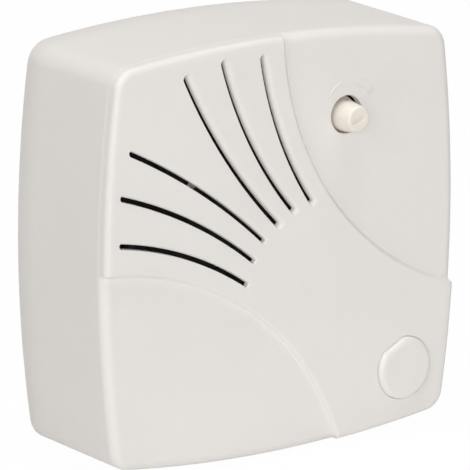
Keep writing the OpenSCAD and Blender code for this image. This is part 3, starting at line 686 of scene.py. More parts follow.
def settle(name: str, mesh: Mesh, body: Body, finish: Finish, *nodes: str) -> Object:
    """Make a finished piece of a mesh and fix it to the frame.

    Args:
        name: Name of the piece.
        mesh: Its mesh, in the frame's metres.
        body: CAD body that it rides on.
        finish: Finish of the piece; not used.
        nodes: CAD nodes that it stands for.

    Returns:
        The piece.
    """
    piece = link(name, mesh)
    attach(piece, body.value)
    finish.slot or finish.name
    if nodes:
        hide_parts(*nodes)
    LOG.info("%s rides on %s, %d faces", name, body.value, len(mesh.polygons))
    return piece


def soft_copy(node: str, finish: Finish, width: float, segments: int = 2,
              body: Body = Body.BASE) -> None:
    """Replace a CAD node by a copy with rounded edges and a finish.

    Args:
        node: CAD node.
        finish: Finish of the copy.
        width: Width of the rounding.
        segments: Number of stretches across a rounding.
        body: CAD body that it rides on.
    """
    mesh = frame["nodes"][node].data.copy()
    mesh.materials.clear()
    mesh.materials.append(finish.material())
    mesh.polygons.foreach_set("material_index", [0] * len(mesh.polygons))
    soften(mesh, width, segments=segments)
    settle(node + "_soft", mesh, body, finish, node)


def turned(name: str, profile: Sequence[Point], at: Point, finish: Finish, closed: bool, *nodes: str,
           body: Body = Body.BASE, steps: int = 96) -> Object:
    """Replace round CAD nodes by a piece turned about an axis square to the wall.

    Args:
        name: Name of the piece.
        profile: Radius and height of each point.
        at: Place of the axis.
        finish: Finish of the piece.
        closed: Whether the profile is a ring's.
        nodes: CAD nodes that it stands for.
        body: CAD body that it rides on.
        steps: Number of stretches round the axis.

    Returns:
        The piece.
    """
    shell = Shell()
    shell.lathe(profile, about(*at), closed, steps)
    return shell.piece(name, [finish], body, *nodes)


class NodeTool(Wiring):
    """A Geometry Nodes tree with named inputs, run once on a carrier to give a plain mesh."""

    def __init__(self, name: str, inputs: dict[str, str]) -> None:
        """Start a tree, which also has inputs for the geometry and the finish.

        Args:
            name: Name of the tree.
            inputs: Kind of socket of each other input, by the input's name.
        """
        super().__init__(bpy.data.node_groups.new(name, "GeometryNodeTree"))
        face = self.tree.interface
        face.new_socket("Geometry", in_out="OUTPUT", socket_type="NodeSocketGeometry")
        kinds = {"Geometry": "Geometry", **inputs, "Finish": "Material"}
        self.ids = {key: face.new_socket(key, in_out="INPUT", socket_type="NodeSocket" + kind).identifier
                    for key, kind in kinds.items()}
        self.entry = self.add("NodeGroupInput").outputs

    def close(self, geometry: Any) -> None:
        """End the tree in Realize Instances and Set Material.

        Args:
            geometry: Output with the finished shape.
        """
        real = self.add("GeometryNodeRealizeInstances", {"Geometry": geometry})
        paint = self.add("GeometryNodeSetMaterial", {
            "Geometry": real.outputs["Geometry"], "Material": self.entry["Finish"]})
        self.add("NodeGroupOutput", {"Geometry": paint.outputs["Geometry"]})

    def run(self, name: str, carrier: Mesh, values: dict[str, Any]) -> Mesh:
        """Run the tree on a mesh.

        Args:
            name: Name of the result.
            carrier: Mesh whose points or edges the tree works on.
            values: Value of each named input.

        Returns:
            A plain mesh.
        """
        host = bpy.data.objects.new(name + "_host", carrier)
        modifier = host.modifiers.new("nodes", "NODES")
        modifier.node_group = self.tree
        for key, value in values.items():
            modifier[self.ids[key]] = value
        bpy.context.scene.collection.objects.link(host)
        bpy.context.view_layer.update()
        mesh = bpy.data.meshes.new_from_object(host.evaluated_get(bpy.context.evaluated_depsgraph_get()))
        host.modifiers.remove(modifier)
        bpy.data.objects.remove(host)
        mesh.name = name
        return mesh


class Repeater:
    """Sets copies of a piece at points, each turned about the axis square to the wall."""

    def __init__(self) -> None:
        """Build the tree: instances on points, turned by the points' own attribute."""
        tool = NodeTool("repeat_at_points", {"Piece": "Object", "Size": "Float"})
        model = tool.add("GeometryNodeObjectInfo", {"Object": tool.entry["Piece"], "As Instance": True})
        turn = tool.add("GeometryNodeInputNamedAttribute", {"Name": "turn"}, data_type="FLOAT_VECTOR")
        rotation = tool.add("FunctionNodeEulerToRotation", {"Euler": turn.outputs["Attribute"]})
        copies = tool.add("GeometryNodeInstanceOnPoints", {
            "Points": tool.entry["Geometry"], "Instance": model.outputs["Geometry"],
            "Rotation": rotation.outputs["Rotation"], "Scale": tool.entry["Size"]})
        tool.close(copies.outputs["Instances"])
        self.tool = tool

    def piece(self, name: str, template: Mesh, places: Sequence[tuple[Point3, float]],
              finish: Finish, *nodes: str) -> None:
        """Repeat a template and fix the copies to the base.

        Args:
            name: Name of the piece.
            template: Mesh about the origin.
            places: Point in the front view and turn in degrees of each copy.
            finish: Finish of the copies.
            nodes: CAD nodes that the piece stands for.
        """
        carrier = bpy.data.meshes.new(name + "_points")
        carrier.from_pydata([row(*point) for point, _ in places], [], [])
        turns = carrier.attributes.new("turn", "FLOAT_VECTOR", "POINT")
        turns.data.foreach_set("vector", [v for _, turn in places for v in (0.0, -radians(turn), 0.0)])
        model = link(name + "_model", template)
        mesh = self.tool.run(name, carrier, {"Piece": model, "Size": 1.0, "Finish": finish.material()})
        bpy.data.objects.remove(model)
        clean(mesh)
        settle(name, mesh, Body.BASE, finish, *nodes)


class Sweeper:
    """Runs a round section along routes, as for wires and drawn lines."""

    bend_sharp = 50.0

    def __init__(self) -> None:
        """Build the tree: routes made even curves, then tubes with closed ends."""
        tool = NodeTool("sweep_along_routes", {"Radius": "Float", "Sides": "Int", "Step": "Float"})
        curve = tool.add("GeometryNodeMeshToCurve", {"Mesh": tool.entry["Geometry"]})
        even = tool.add("GeometryNodeResampleCurve", {
            "Curve": curve.outputs["Curve"], "Length": tool.entry["Step"]}, mode="LENGTH")
        section = tool.add("GeometryNodeCurvePrimitiveCircle", {
            "Resolution": tool.entry["Sides"], "Radius": tool.entry["Radius"]})
        tube = tool.add("GeometryNodeCurveToMesh", {
            "Curve": even.outputs["Curve"], "Profile Curve": section.outputs["Curve"], "Fill Caps": True})
        tool.close(tube.outputs["Mesh"])
        self.tool = tool

    def piece(self, name: str, routes: Sequence[Sequence[Point3]], radius: float, sides: int, step: float,
              finish: Finish, *nodes: str) -> None:
        """Sweep a section along routes and fix the tubes to the base.

        Args:
            name: Name of the piece.
            routes: Points of each route in the front view; a route whose ends meet is closed.
            radius: Radius of the section.
            sides: Number of sides of the section.
            step: Distance between two sections.
            finish: Finish of the tubes.
            nodes: CAD nodes that the piece stands for.
        """
        points: list[Vector] = []
        edges: list[tuple[int, int]] = []
        for route in routes:
            start = len(points)
            loop = route[0] == route[-1]
            kept = route[:-1] if loop else route
            points.extend(row(*p) for p in kept)
            edges.extend((start + i, start + i + 1) for i in range(len(kept) - 1))
            if loop:
                edges.append((start + len(kept) - 1, start))
        carrier = bpy.data.meshes.new(name + "_routes")
        carrier.from_pydata(points, edges, [])
        mesh = self.tool.run(name, carrier, {
            "Radius": radius * MM, "Sides": sides, "Step": step * MM, "Finish": finish.material()})
        clean(mesh, self.bend_sharp)
        settle(name, mesh, Body.BASE, finish, *nodes)


def smooth_route(points: Sequence[Point3], per_stretch: int = 8) -> list[Point3]:
    """Run a smooth curve through points.

    Args:
        points: Points that the curve passes.
        per_stretch: Number of steps between two points.

    Returns:
        Points of the curve.
    """
    fixed = [np.array(p, float) for p in (points[0], *points, points[-1])]
    curve: list[Point3] = []
    for a, b, c, d in zip(fixed, fixed[1:], fixed[2:], fixed[3:]):
        for k in range(per_stretch):
            t = k / per_stretch
            point = 0.5 * (2 * b + (c - a) * t + (2 * a - 5 * b + 4 * c - d) * t ** 2
                           + (3 * b - a - 3 * c + d) * t ** 3)
            curve.append((float(point[0]), float(point[1]), float(point[2])))
    curve.append(tuple(float(v) for v in points[-1]))
    return curve


@dataclass
class ScrewKit:
    """Templates of the screws, about the origin with their seat at 0."""

    head_h: float = 1.7
    thread_pitch: float = 0.9
    core_share: float = 0.82
    recess_share: Point = (1.15, 0.26)
    slot_side: float = 0.7
    steps: int = 40

    def shank(self, r: float, length: float) -> list[Point]:
        """Give the profile of a threaded shank.

        Args:
            r: Radius of the thread.
            length: Length below the head.

        Returns:
            Radius and height of each point, from the tip to the seat.
        """
        points: list[Point] = [(0.0, -length), (0.35 * r, -length + 0.05), (0.8 * r, -length + 0.6)]
        z = -length + self.thread_pitch
        while z < -0.6:
            points += [(self.core_share * r, z), (r, z + 0.3 * self.thread_pitch)]
            z += self.thread_pitch
        return points + [(self.core_share * r, -0.3)]

    def pan(self, r: float, length: float, head_r: float) -> Mesh:
        """Make a pan-head screw with a cross recess.

        Args:
            r: Radius of the thread.
            length: Length below the head.
            head_r: Radius of the head.

        Returns:
            The template.
        """
        shell = Shell()
        top = self.head_h
        dome = rounded([(self.core_share * r, 0, 0), (head_r, 0, 0.1), (head_r * 0.96, 0.55 * top, 0.5),
                        (head_r * 0.6, top, 0.9), (0, top, 0)], 5)
        shell.lathe(self.shank(r, length) + dome, about(0, 0), False, self.steps)
        body = shell.mesh("pan_screw", [])
        arm_l, arm_w = (share * head_r for share in self.recess_share)
        for turn in (0.0, 90.0):
            arm = (turned_box((0, 0), turn, arm_l, arm_w), 0.42 * top, top + 1)
            body = carve("pan_screw", body, bars([arm]))
        return body

    def slotted(self, r: float, length: float, head_r: float, head_h: float) -> Mesh:
        """Make a terminal screw with a straight slot.

        Args:
            r: Radius of the thread.
            length: Length below the head.
            head_r: Radius of the head.
            head_h: Height of the head.

        Returns:
            The template.
        """
        shell = Shell()
        profile = rounded([(0, -length, 0), (r, -length, 0.3), (r, 0, 0), (head_r, 0, 0.1),
                           (head_r, head_h, 0.25), (0, head_h, 0)])
        shell.lathe(profile, about(0, 0), False, self.steps)
        corners = turned_box((0, 0), 0.0, 3 * head_r, self.slot_side)
        slot = bars([(corners, head_h - self.slot_side, head_h + 1)])
        return carve("slotted_screw", shell.mesh("slotted_blank", []), slot)


@dataclass
class Workshop:
    """The tools that the sub-assemblies share."""

    repeater: Repeater = field(default_factory=Repeater)
    sweeper: Sweeper = field(default_factory=Sweeper)
    screws: ScrewKit = field(default_factory=ScrewKit)


@dataclass
class CaseOutline:
    """The bulged square outline of the case."""

    half_w: float = 45.0
    bulge: float = 3.2
    corner_r: float = 5.5
    side_share: float = 0.8
    taper: float = tan(radians(1.4))
    side_r: float = field(init=False)
    side_off: float = field(init=False)
    corner_c: float = field(init=False)
    side_turn: float = field(init=False)

    def __post_init__(self) -> None:
        """Work out the arcs."""
        chord = self.half_w - self.bulge
        self.side_r = (chord ** 2 + self.bulge ** 2) / (2 * self.bulge)
        self.side_off = self.side_r - self.half_w
        root = sqrt(2 * (self.side_r - self.corner_r) ** 2 - self.side_off ** 2)
        self.corner_c = (root - self.side_off) / 2
        self.side_turn = atan2(self.corner_c, self.corner_c + self.side_off)

    def at(self, run: np.ndarray) -> tuple[np.ndarray, np.ndarray]:
        """Give points of the outline at the wall.

        Args:
            run: Places along the outline, from 0 to 4, one for each side with its corner.

        Returns:
            The points and their outward normals.
        """
        quarter = np.floor(run)
        share = run - quarter
        on_side = share < self.side_share
        side = self.side_turn * (2 * share / self.side_share - 1)
        corner_share = (share - self.side_share) / (1 - self.side_share)
        corner = self.side_turn + (pi / 2 - 2 * self.side_turn) * corner_share
        turn = np.where(on_side, side, corner)
        radius = np.where(on_side, self.side_r, self.corner_r)
        x = np.where(on_side, -self.side_off, self.corner_c) + radius * np.cos(turn)
        y = np.where(on_side, 0.0, self.corner_c) + radius * np.sin(turn)
        c, s = np.cos(quarter * pi / 2), np.sin(quarter * pi / 2)
        points = np.column_stack([x * c - y * s, x * s + y * c])
        normals = np.column_stack([np.cos(turn) * c - np.sin(turn) * s, np.cos(turn) * s + np.sin(turn) * c])
        return points, normals

    def ring(self, run: np.ndarray, inset: np.ndarray | float) -> np.ndarray:
        """Points of the outline moved in by an inset."""
        points, normals = self.at(run)
        return points - normals * np.reshape(inset, (-1, 1))


@dataclass
class Hole:
    """An opening in the cover's face: its edge at any offset and its levels.

    The lip is rounded over a width and a depth; the lean moves its front edge to one side. The back edge is
    cut away over the bevel.
    """

    loop: Callable[[float], np.ndarray]
    top: float
    under: float
    lip: float
    depth: float
    lean: Point = (0.0, 0.0)
    bevel: float = 0.0
    least_back: float = 0.3

    def front(self, share: float, out: float = 0.0) -> np.ndarray:
        """Edge at a share of the lip's width, which is 1 at the face, moved out further."""
        return self.loop(self.lip * share + out) + np.array(self.lean) * self.lip * share

    def levels(self) -> list[tuple[np.ndarray, float]]:
        """Give the edges between the face and the back.

        Returns:
            Each edge with its height.
        """
        rings = []
        for turn in (18.0, 36.0, 54.0, 72.0, 90.0):
            a = radians(turn)
            rings.append((self.front(1 - sin(a)), self.top - self.depth * (1 - cos(a))))
        rings.append((self.loop(0.0), self.under + max(self.least_back, self.bevel)))
        return rings


class Patch:
    """A face of the cover seen from the front, with lines that its triangles keep to."""

    def __init__(self) -> None:
        """Start with nothing."""
        self.points: list[Point] = []
        self.heights: list[float] = []
        self.lines: list[tuple[int, int]] = []
        self.known: dict[int, int] = {}

    def add(self, points: np.ndarray, heights: np.ndarray | float, closed: bool) -> list[int]:
        """Take in a line of points.

        Args:
            points: Rows of x and y.
            heights: Height of each point, or of all.
            closed: Whether the last point joins the first.

        Returns:
            Numbers of the points.
        """
        start = len(self.points)
        self.points.extend((float(x), float(y)) for x, y in points)
        self.heights.extend(float(h) for h in np.broadcast_to(heights, len(points)))
        numbers = list(range(start, len(self.points)))
        self.lines.extend(zip(numbers, numbers[1:]))
        if closed:
            self.lines.append((numbers[-1], numbers[0]))
        return numbers

    def fill(self, shell: Shell, edge: np.ndarray, holes: Sequence[np.ndarray]) -> list[int]:
        """Triangulate the patch into a shell.

        Args:
            shell: Shell that takes the faces.
            edge: Loop round the patch.
            holes: Loops that stay open.

        Returns:
            Number in the shell of each point of the patch.
        """
        corners = [Vector(p) for p in self.points]
        points, _, faces, origins, _, _ = delaunay_2d_cdt(corners, self.lines, [], 0, 1e-6, True)
        flat = np.array([tuple(p) for p in points])
        centres = np.array([flat[list(f)].mean(axis=0) for f in faces])
        keep = inside(centres, edge)
        for hole in holes:
            keep &= ~inside(centres, hole)
        numbers = [-1] * len(self.points)
        placed: list[int] = []
        for point, origin in zip(flat, origins):
            fixed = [self.known[o] for o in origin if o in self.known]
            height = self.heights[origin[0]] if origin else self.heights[0]
            number = fixed[0] if fixed else shell.add([(point[0], point[1], height)])[0]
            placed.append(number)
            for o in origin:
                numbers[o] = number
        for face, kept in zip(faces, keep):
            if kept:
                shell.face(*[placed[i] for i in face])
        return numbers


@dataclass
class FrontCover:
    """The hood with its raised band, sound slots, two corner fields, and holes for spindle and button.

    The arcs give the middle and the radius of each step. A slot has the middle and the radius of its outer
    edge and the distances of its two ends, before a lower one is mirrored.
    """

    outline: CaseOutline = field(default_factory=CaseOutline)
    wall: float = 2.0
    field_z: float = 30.8
    band_z: float = 32.0
    rim_r: float = 2.1
    band_inset: float = 0.1
    band_rim_r: float = 1.3
    crease_turn: float = 18.0
    face_inset: float = 3.08
    inner_inset: float = 3.55
    inner_rim_r: float = 0.5
    edge_r: float = 0.25
    edge_share: float = 0.3
    wall_heights: Sizes = (6.0, 12.0, 18.0, 24.0, 27.5)
    inner_heights: Sizes = (8.0, 16.0, 24.0)
    inner_drop: float = 0.6
    rim_inset: float = 1.5
    rim_spread: float = 0.022
    shift: float = 0.5
    upper_arc: tuple[float, float, float] = (62.1, 46.5, 63.15)
    lower_arc: tuple[float, float, float] = (-46.2, -62.85, 62.8)
    step_half: float = 0.52
    step_lines: Sizes = (-0.72, -0.52, -0.36, -0.18, 0.0, 0.18, 0.36, 0.52, 0.72)
    slot_w: float = 1.2
    slot_in: float = 0.1
    slot_bevel: float = 0.6
    slot_corner: float = 0.25
    flat_beside: float = 0.14
    upper_aside: Point = (0.08, -0.08)
    upper_depth: float = 1.3
    upper_lip: float = 0.65
    upper_lean: Point = (0.95, -0.2)
    lower_aside: Point = (0.08, -0.14)
    lower_depth: float = 0.8
    lower_lip: float = 0.28
    lower_lean: Point = (0.95, 0.6)
    upper_slots: tuple[Sizes, ...] = (
        (70.4, 53.6, 78.4, 4.4, 8.75), (66.5, 64.4, 86.3, 4.4, 7.55), (82.8, 89.1, 119.5, 6.6, 5.05))
    lower_slots: tuple[Sizes, ...] = (
        (65.2, 51.7, 73.3, 5.0, 9.05), (74.1, 68.4, 95.3, 5.3, 7.35), (94.5, 96.9, 134.0, 7.5, 4.9))
    spindle_hole: tuple[float, float, float] = (15.6, 25.68, 4.0)
    button_at: Point = (30.6, -30.7)
    button_hole_r: float = 6.9
    button_hole_flat: float = 6.25
    button_turn: float = 118.0
    spindle_hole_lip: float = 0.25
    button_hole_lip: float = 0.06
    mark_at: Point = (16.6, 27.0)
    mark_r: float = 6.5
    mark_inner_r: float = 6.66
    mark_shift: Point = (-0.9, -1.6)
    mark_turns: Point = (151.0, 40.0)
    mark_h: float = 0.1
    mark_slope: float = 0.12
    mark_slope_share: float = 0.3
    arrow_root: float = 1.6
    arrow_in: float = 1.1
    arrow_turn: float = 42.0
    arrow_length: float = 1.9
    arrow_slope: float = 0.34

    def arcs(self) -> list[tuple[np.ndarray, float]]:
        """Middles and radii of the two curved steps."""
        return [(np.array(arc[:2]), arc[2]) for arc in (self.upper_arc, self.lower_arc)]

    def share(self, points: np.ndarray, offset: float = 0.0) -> np.ndarray:
        """Tell how far up the step between field and band each point lies.

        Args:
            points: Rows of x and y.
            offset: Distance by which the step is moved into the fields.

        Returns:
            0 in a field, 1 on the band.
        """
        away = np.min([np.hypot(*(points - centre).T) - r for centre, r in self.arcs()], axis=0) + offset
        return smooth_share((away + self.step_half) / (2 * self.step_half))

    def crossings(self, centre: np.ndarray, radius: float, inset: float) -> list[float]:
        """Find where a circle meets the outline.

        Args:
            centre: Middle of the circle.
            radius: Its radius.
            inset: Inset of the outline.

        Returns:
            The two places along the outline.
        """
        def away(run: np.ndarray) -> np.ndarray:
            """Signed distance from the circle."""
            return np.hypot(*(self.outline.ring(run, inset) - centre).T) - radius

        runs = np.linspace(0.0, 4.0, 4001)
        values = away(runs)
        found = []
        for k in np.nonzero(values[:-1] * values[1:] < 0)[0]:
            low, high = runs[k], runs[k + 1]
            for _ in range(40):
                middle = (low + high) / 2
                same = away(np.array([middle]))[0] * values[k] > 0
                low, high = (middle, high) if same else (low, middle)
            found.append(float((low + high) / 2))
        return found

    def runs(self) -> np.ndarray:
        """Choose places along the outline, close together where a step crosses the rim.

        Returns:
            The places in order.
        """
        exact: list[float] = []
        near: list[float] = []
        for centre, radius in self.arcs():
            for line in self.step_lines:
                exact.extend(self.crossings(centre, radius + line, self.face_inset))
                exact.extend(self.crossings(centre, radius - self.wall + line, self.inner_inset))
            for place in self.crossings(centre, radius, self.rim_inset):
                near.extend(place + np.linspace(-self.rim_spread, self.rim_spread, 45))
        share = self.outline.side_share
        quarter = np.concatenate([np.linspace(0, share, 45)[:-1], np.linspace(share, 1, 17)[:-1]])
        spread = np.concatenate([quarter + k for k in range(4)] + [np.array(near)])
        fixed = np.array(sorted(exact))
        free = [r for r in spread if np.min(np.abs(fixed - r)) > 2e-4]
        return np.array(sorted([*fixed, *np.unique(np.round(free, 6))]))

    def outer_levels(self) -> tuple[np.ndarray, np.ndarray]:
        """Lay out the outer wall.

        Returns:
            Insets and heights up the wall, for a field and for the band.
        """
        t = self.outline.taper
        e = self.edge_r
        foot = [(e, 0.0), (self.edge_share * e, self.edge_share * e), (e * t, e)]
        wall = foot + [(z * t, z) for z in self.wall_heights]
        turn = self.field_z - self.rim_r
        top = self.band_z - self.band_rim_r
        start = (turn * t, turn)
        low = rounded_rim(start, self.rim_r, np.linspace(0.0, 90.0, 11)) + [(self.face_inset, self.field_z)]
        high = rounded_rim(start, self.rim_r, np.linspace(0.0, self.crease_turn, 4))
        middle = (high[-1][1] + top) / 2
        high.append((self.band_inset + middle * t, middle))
        high += rounded_rim((self.band_inset + top * t, top), self.band_rim_r, np.linspace(0.0, 90.0, 6))
        high.append((self.face_inset, self.band_z))
        return np.array(wall + low), np.array(wall + high)

    def inner_levels(self) -> tuple[np.ndarray, np.ndarray]:
        """Lay out the inner wall.

        Returns:
            Insets and heights up the wall, for a field and for the band.
        """
        t = self.outline.taper
        w = self.wall
        e = self.edge_r
        r = self.inner_rim_r
        b = w + self.band_inset
        foot = [(w - e, 0.0), (w - self.edge_share * e, self.edge_share * e), (w + e * t, e)]
        wall = foot + [(w + z * t, z) for z in self.inner_heights]
        roof = self.field_z - w
        turn = roof - r
        low = rounded_rim((w + turn * t, turn), r, np.array([0, 30, 60, 90]))
        drop = roof - self.inner_drop
        high_turn = self.band_z - w - r
        high = [(w + drop * t, drop), (b + roof * t, roof), (b + high_turn * t, high_turn),
                (b + high_turn * t + 0.3 * r, high_turn + 0.7 * r)]
        return (np.array(wall + low + [(self.inner_inset, roof)]),
                np.array(wall + high + [(self.inner_inset, self.band_z - w)]))

    def strip(self, shell: Shell, runs: np.ndarray, levels: tuple[np.ndarray, np.ndarray],
              offset: float) -> list[list[int]]:
        """Build a wall as rings round the case.

        Args:
            shell: Shell that takes the wall.
            runs: Places along the outline.
            levels: Insets and heights for a field and for the band.
            offset: Distance by which the steps are moved into the fields.

        Returns:
            Numbers of the points of each ring.
        """
        rings = []
        for low, high in zip(*levels):
            share = self.share(self.outline.ring(runs, float(low[0])), offset)
            points = self.outline.ring(runs, low[0] + (high[0] - low[0]) * share)
            heights = low[1] + (high[1] - low[1]) * share
            rings.append(shell.add(np.column_stack([points, heights])))
        shell.bridges(rings)
        return rings

    def slot_loop(self, curve: Sequence[float], mirrored: bool, offset: float) -> np.ndarray:
        """Give the edge of a sound slot.

        Args:
            curve: Centre, outer radius, and the distances of the two ends.
            mirrored: Whether it is a lower slot.
            offset: Distance outside the slot's edge, which lies a little inside its nominal one.

        Returns:
            Points of the closed edge.
        """
        offset -= self.slot_in
        cx, cy, r, outer, inner = curve
        start = asin((cy - self.outline.half_w + outer) / r)
        end = asin((cy - inner) / r)
        half = self.slot_w / 2
        middle = r - half
        corner = self.slot_corner
        polar: list[Point] = [(r + offset, a) for a in np.linspace(start, end - corner / r, 40)]
        for side, first in ((1, 0.0), (-1, 90.0)):
            centre = middle + side * (half - corner)
            for beta in np.radians(np.linspace(first, first + 90.0, 5))[0 if side < 0 else 1:]:
                rho = centre + (corner + offset) * cos(beta)
                polar.append((rho, end - corner / r + (corner + offset) * sin(beta) / rho))
        polar += [(r - self.slot_w - offset, a) for a in np.linspace(end - corner / r, start, 40)[1:]]
        wide = half + offset
        for beta in np.radians(np.linspace(180.0, 0.0, 13))[1:-1]:
            polar.append((middle + wide * cos(beta), start - wide * sin(beta) / middle))
        points = np.array([(cx - rho * cos(a), cy - rho * sin(a)) for rho, a in polar])
        if mirrored:
            points = -points[:, ::-1]
        return points - self.shift + np.array(self.lower_aside if mirrored else self.upper_aside)

    def keyed_loop(self, offset: float) -> np.ndarray:
        """Edge of the button's hole at an offset."""
        r, flat = self.button_hole_r + offset, self.button_hole_flat + offset
        return keyed_round(self.button_at, r, flat, self.button_turn)

    def round_loop(self, offset: float) -> np.ndarray:
        """Edge of the spindle's hole at an offset."""
        x, y, r = self.spindle_hole
        return circle((x, y), r + offset, 72)

    def holes(self) -> list[Hole]:
        """List the openings in the face.

        Returns:
            The slots, the spindle's hole and the button's.
        """
        found = []
        under = self.band_z - self.wall
        for mirrored, curves, lip, depth, lean in (
                (False, self.upper_slots, self.upper_lip, self.upper_depth, self.upper_lean),
                (True, self.lower_slots, self.lower_lip, self.lower_depth, self.lower_lean)):
            for curve in curves:
                loop = partial(self.slot_loop, curve, mirrored)
                found.append(Hole(loop, self.band_z, under, lip, depth, lean, self.slot_bevel))
        lip = self.spindle_hole_lip
        found.append(Hole(self.round_loop, self.field_z, self.field_z - self.wall, lip, lip))
        lip = self.button_hole_lip
        found.append(Hole(self.keyed_loop, self.band_z, under, lip, lip))
        return found

    def mark_loops(self) -> tuple[np.ndarray, np.ndarray]:
        """Lay out the raised turning mark: a wedge along an arc that ends in an arrowhead.

        Returns:
            Its foot and its top.
        """
        centre = np.array(self.mark_at)
        turns = np.radians(np.linspace(*self.mark_turns, 30))
        across = np.column_stack([np.cos(turns), np.sin(turns)])
        lean = across @ np.array(self.mark_shift)
        inner = lean + np.sqrt(lean ** 2 - np.dot(self.mark_shift, self.mark_shift) + self.mark_inner_r ** 2)
        slope = np.minimum(self.mark_slope, self.mark_slope_share * (self.mark_r - inner))
        last = turns[-1]
        along = np.array([sin(last), -cos(last)])
        root = centre + across[-1] * (self.mark_r - self.arrow_in)
        c, s = cos(radians(self.arrow_turn)), sin(radians(self.arrow_turn))
        lean_out = across[-1] * c - along * s
        lean_on = across[-1] * s + along * c
        arrow = np.array([root + lean_out * self.arrow_root, root + lean_on * self.arrow_length,
                          root - lean_out * self.arrow_root])
        inward = arrow.mean(axis=0) - arrow
        small = arrow + inward / np.linalg.norm(inward, axis=1)[:, None] * self.arrow_slope
        loops = []
        for step, head in ((0.0 * slope, arrow), (slope, small)):
            outer = centre + across * (self.mark_r - step)[:, None]
            back = centre + across * (inner + step)[:, None]
            loops.append(np.vstack([outer, head, back[::-1]]))
        return loops[0], loops[1]

    def face(self, shell: Shell, runs: np.ndarray, edge: list[int], inset: float, offset: float,
             levels: Point, loops: Sequence[tuple[np.ndarray, np.ndarray | None]],
             mark: bool) -> list[list[int]]:
        """Fill the outer or the inner face.

        Args:
            shell: Shell that takes the face.
            runs: Places along the outline.
            edge: Numbers of the points at the edge of the face.
            inset: Inset of that edge.
            offset: Distance by which the steps are moved into the fields.
            levels: Heights of the fields and of the band.
            loops: Edge of each opening, and a line that keeps the face flat beside it.
            mark: Whether the turning mark stands on this face.

        Returns:
            Numbers of the points round each opening.
        """
        def height(points: np.ndarray) -> np.ndarray:
            """Level of the face at points."""
            return levels[0] + (levels[1] - levels[0]) * self.share(points, offset)

        patch = Patch()
        ring = self.outline.ring(runs, inset)
        rim = patch.add(ring, height(ring), True)
        patch.known.update(zip(rim, edge))
        for centre, arc_r in self.arcs():
            for line in self.step_lines:
                radius = arc_r - offset + line
                ends = [int(np.argmin(np.abs(runs - r))) for r in self.crossings(centre, radius, inset)]
                first, last = (atan2(*(ring[e] - centre)[::-1]) for e in ends)
                sweep = (last - first + pi) % (2 * pi) - pi
                angles = first + sweep * np.linspace(0, 1, 75)[1:-1]
                points = centre + radius * np.column_stack([np.cos(angles), np.sin(angles)])
                inner = patch.add(points, height(points), False)
                patch.lines.extend([(ends[0], inner[0]), (inner[-1], ends[1])])
        if mark:
            foot, top = self.mark_loops()
            patch.add(foot, self.field_z, True)
            patch.add(top, self.field_z + self.mark_h, True)
        rounds = []
        for loop, flat in loops:
            rounds.append(patch.add(loop, height(loop), True))
            if flat is not None:
                patch.add(flat, height(flat), True)
        numbers = patch.fill(shell, ring, [loop for loop, _ in loops])
        return [[numbers[i] for i in loop] for loop in rounds]

    def build(self) -> None:
        """Build the cover as one closed mesh."""
        shell = Shell()
        runs = self.runs()
        holes = self.holes()
        outer = self.strip(shell, runs, self.outer_levels(), 0.0)
        inner = self.strip(shell, runs, self.inner_levels(), self.wall)
        shell.bridge(outer[0], inner[0])
        top = self.face(shell, runs, outer[-1], self.face_inset, 0.0, (self.field_z, self.band_z),
                        [(h.front(1.0), h.front(1.0, self.flat_beside)) for h in holes], True)
        under = self.face(shell, runs, inner[-1], self.inner_inset, self.wall,
                          (self.field_z - self.wall, self.band_z - self.wall),
                          [(h.loop(h.bevel), None) for h in holes], False)
        for hole, high, low in zip(holes, top, under):
            shell.bridges([high, *(shell.ring(loop, z) for loop, z in hole.levels()), low])
        shell.piece("cover_hood", [COVER_PLASTIC], Body.COVER, "front_cover", sharp=35.0)


@dataclass
class PushButton:
    """The button with its flat edge, its stem and the push switch behind it."""

    at: Point = (30.7, -30.7)
    cap_at: Point = (30.6, -30.7)
    radius: float = 6.78
    flat: float = 6.13
    ledge: float = 0.06
    ledge_z: float = 31.9
    turn: float = 118.0
    foot: float = 28.5
    face: float = 33.1
    edge_h: float = 1.0
    edge_in: float = 1.3
    face_in: float = 0.25
    flange_r: float = 8.1
    flange_top: float = 29.7
    stem_r: float = 3.2
    stem_z: float = 13.6
    bore_r: float = 1.72
    bore_z: float = 16.0
    plunger_r: float = 1.7
    plunger_z: float = 10.4

    def loop(self, inset: float) -> np.ndarray:
        """Edge of the button's face, moved in by an inset."""
        return keyed_round(self.cap_at, self.radius - inset, self.flat - inset, self.turn)

    def cap(self) -> None:
        """Build the cap with its stem."""
        shell = Shell()
        rim = self.face - self.edge_h
        loops = [(self.loop(-self.ledge), self.foot), (self.loop(-self.ledge), self.ledge_z - self.ledge),
                 (self.loop(0.0), self.ledge_z)]
        for angle in range(0, 91, 15):
            a = radians(angle)
            loops.append((self.loop(self.edge_in * (1 - cos(a))), rim + self.edge_h * sin(a)))
        loops.append((self.loop(self.edge_in + self.face_in), self.face))
        shell.stack(loops)
        profile = rounded([
            (0, self.bore_z, 0), (self.bore_r, self.bore_z, 0), (self.bore_r, self.stem_z, 0.1),
            (self.stem_r, self.stem_z, 0.3), (self.stem_r, self.foot, 0.5), (self.flange_r, self.foot, 0.2),
            (self.flange_r, self.flange_top, 0.2), (0, self.flange_top, 0)])
        shell.lathe(profile, about(*self.at), False)
        shell.piece("button_face", [COVER_PLASTIC], Body.BUTTON, "button_cap")

    def build(self) -> None:
        """Build the button and its switch."""
        self.cap()
        profile = ring_profile(0, self.plunger_r, self.plunger_z, self.bore_z, (0.1, 0.2))
        turned("switch_stem", profile, self.at, BLACK_PLASTIC, False, "switch_plunger", body=Body.BUTTON,
               steps=48)
        soft_copy("switch_body", BLACK_PLASTIC, 0.2)
        soft_copy("switch_frame", ZINC_STEEL, 0.06)


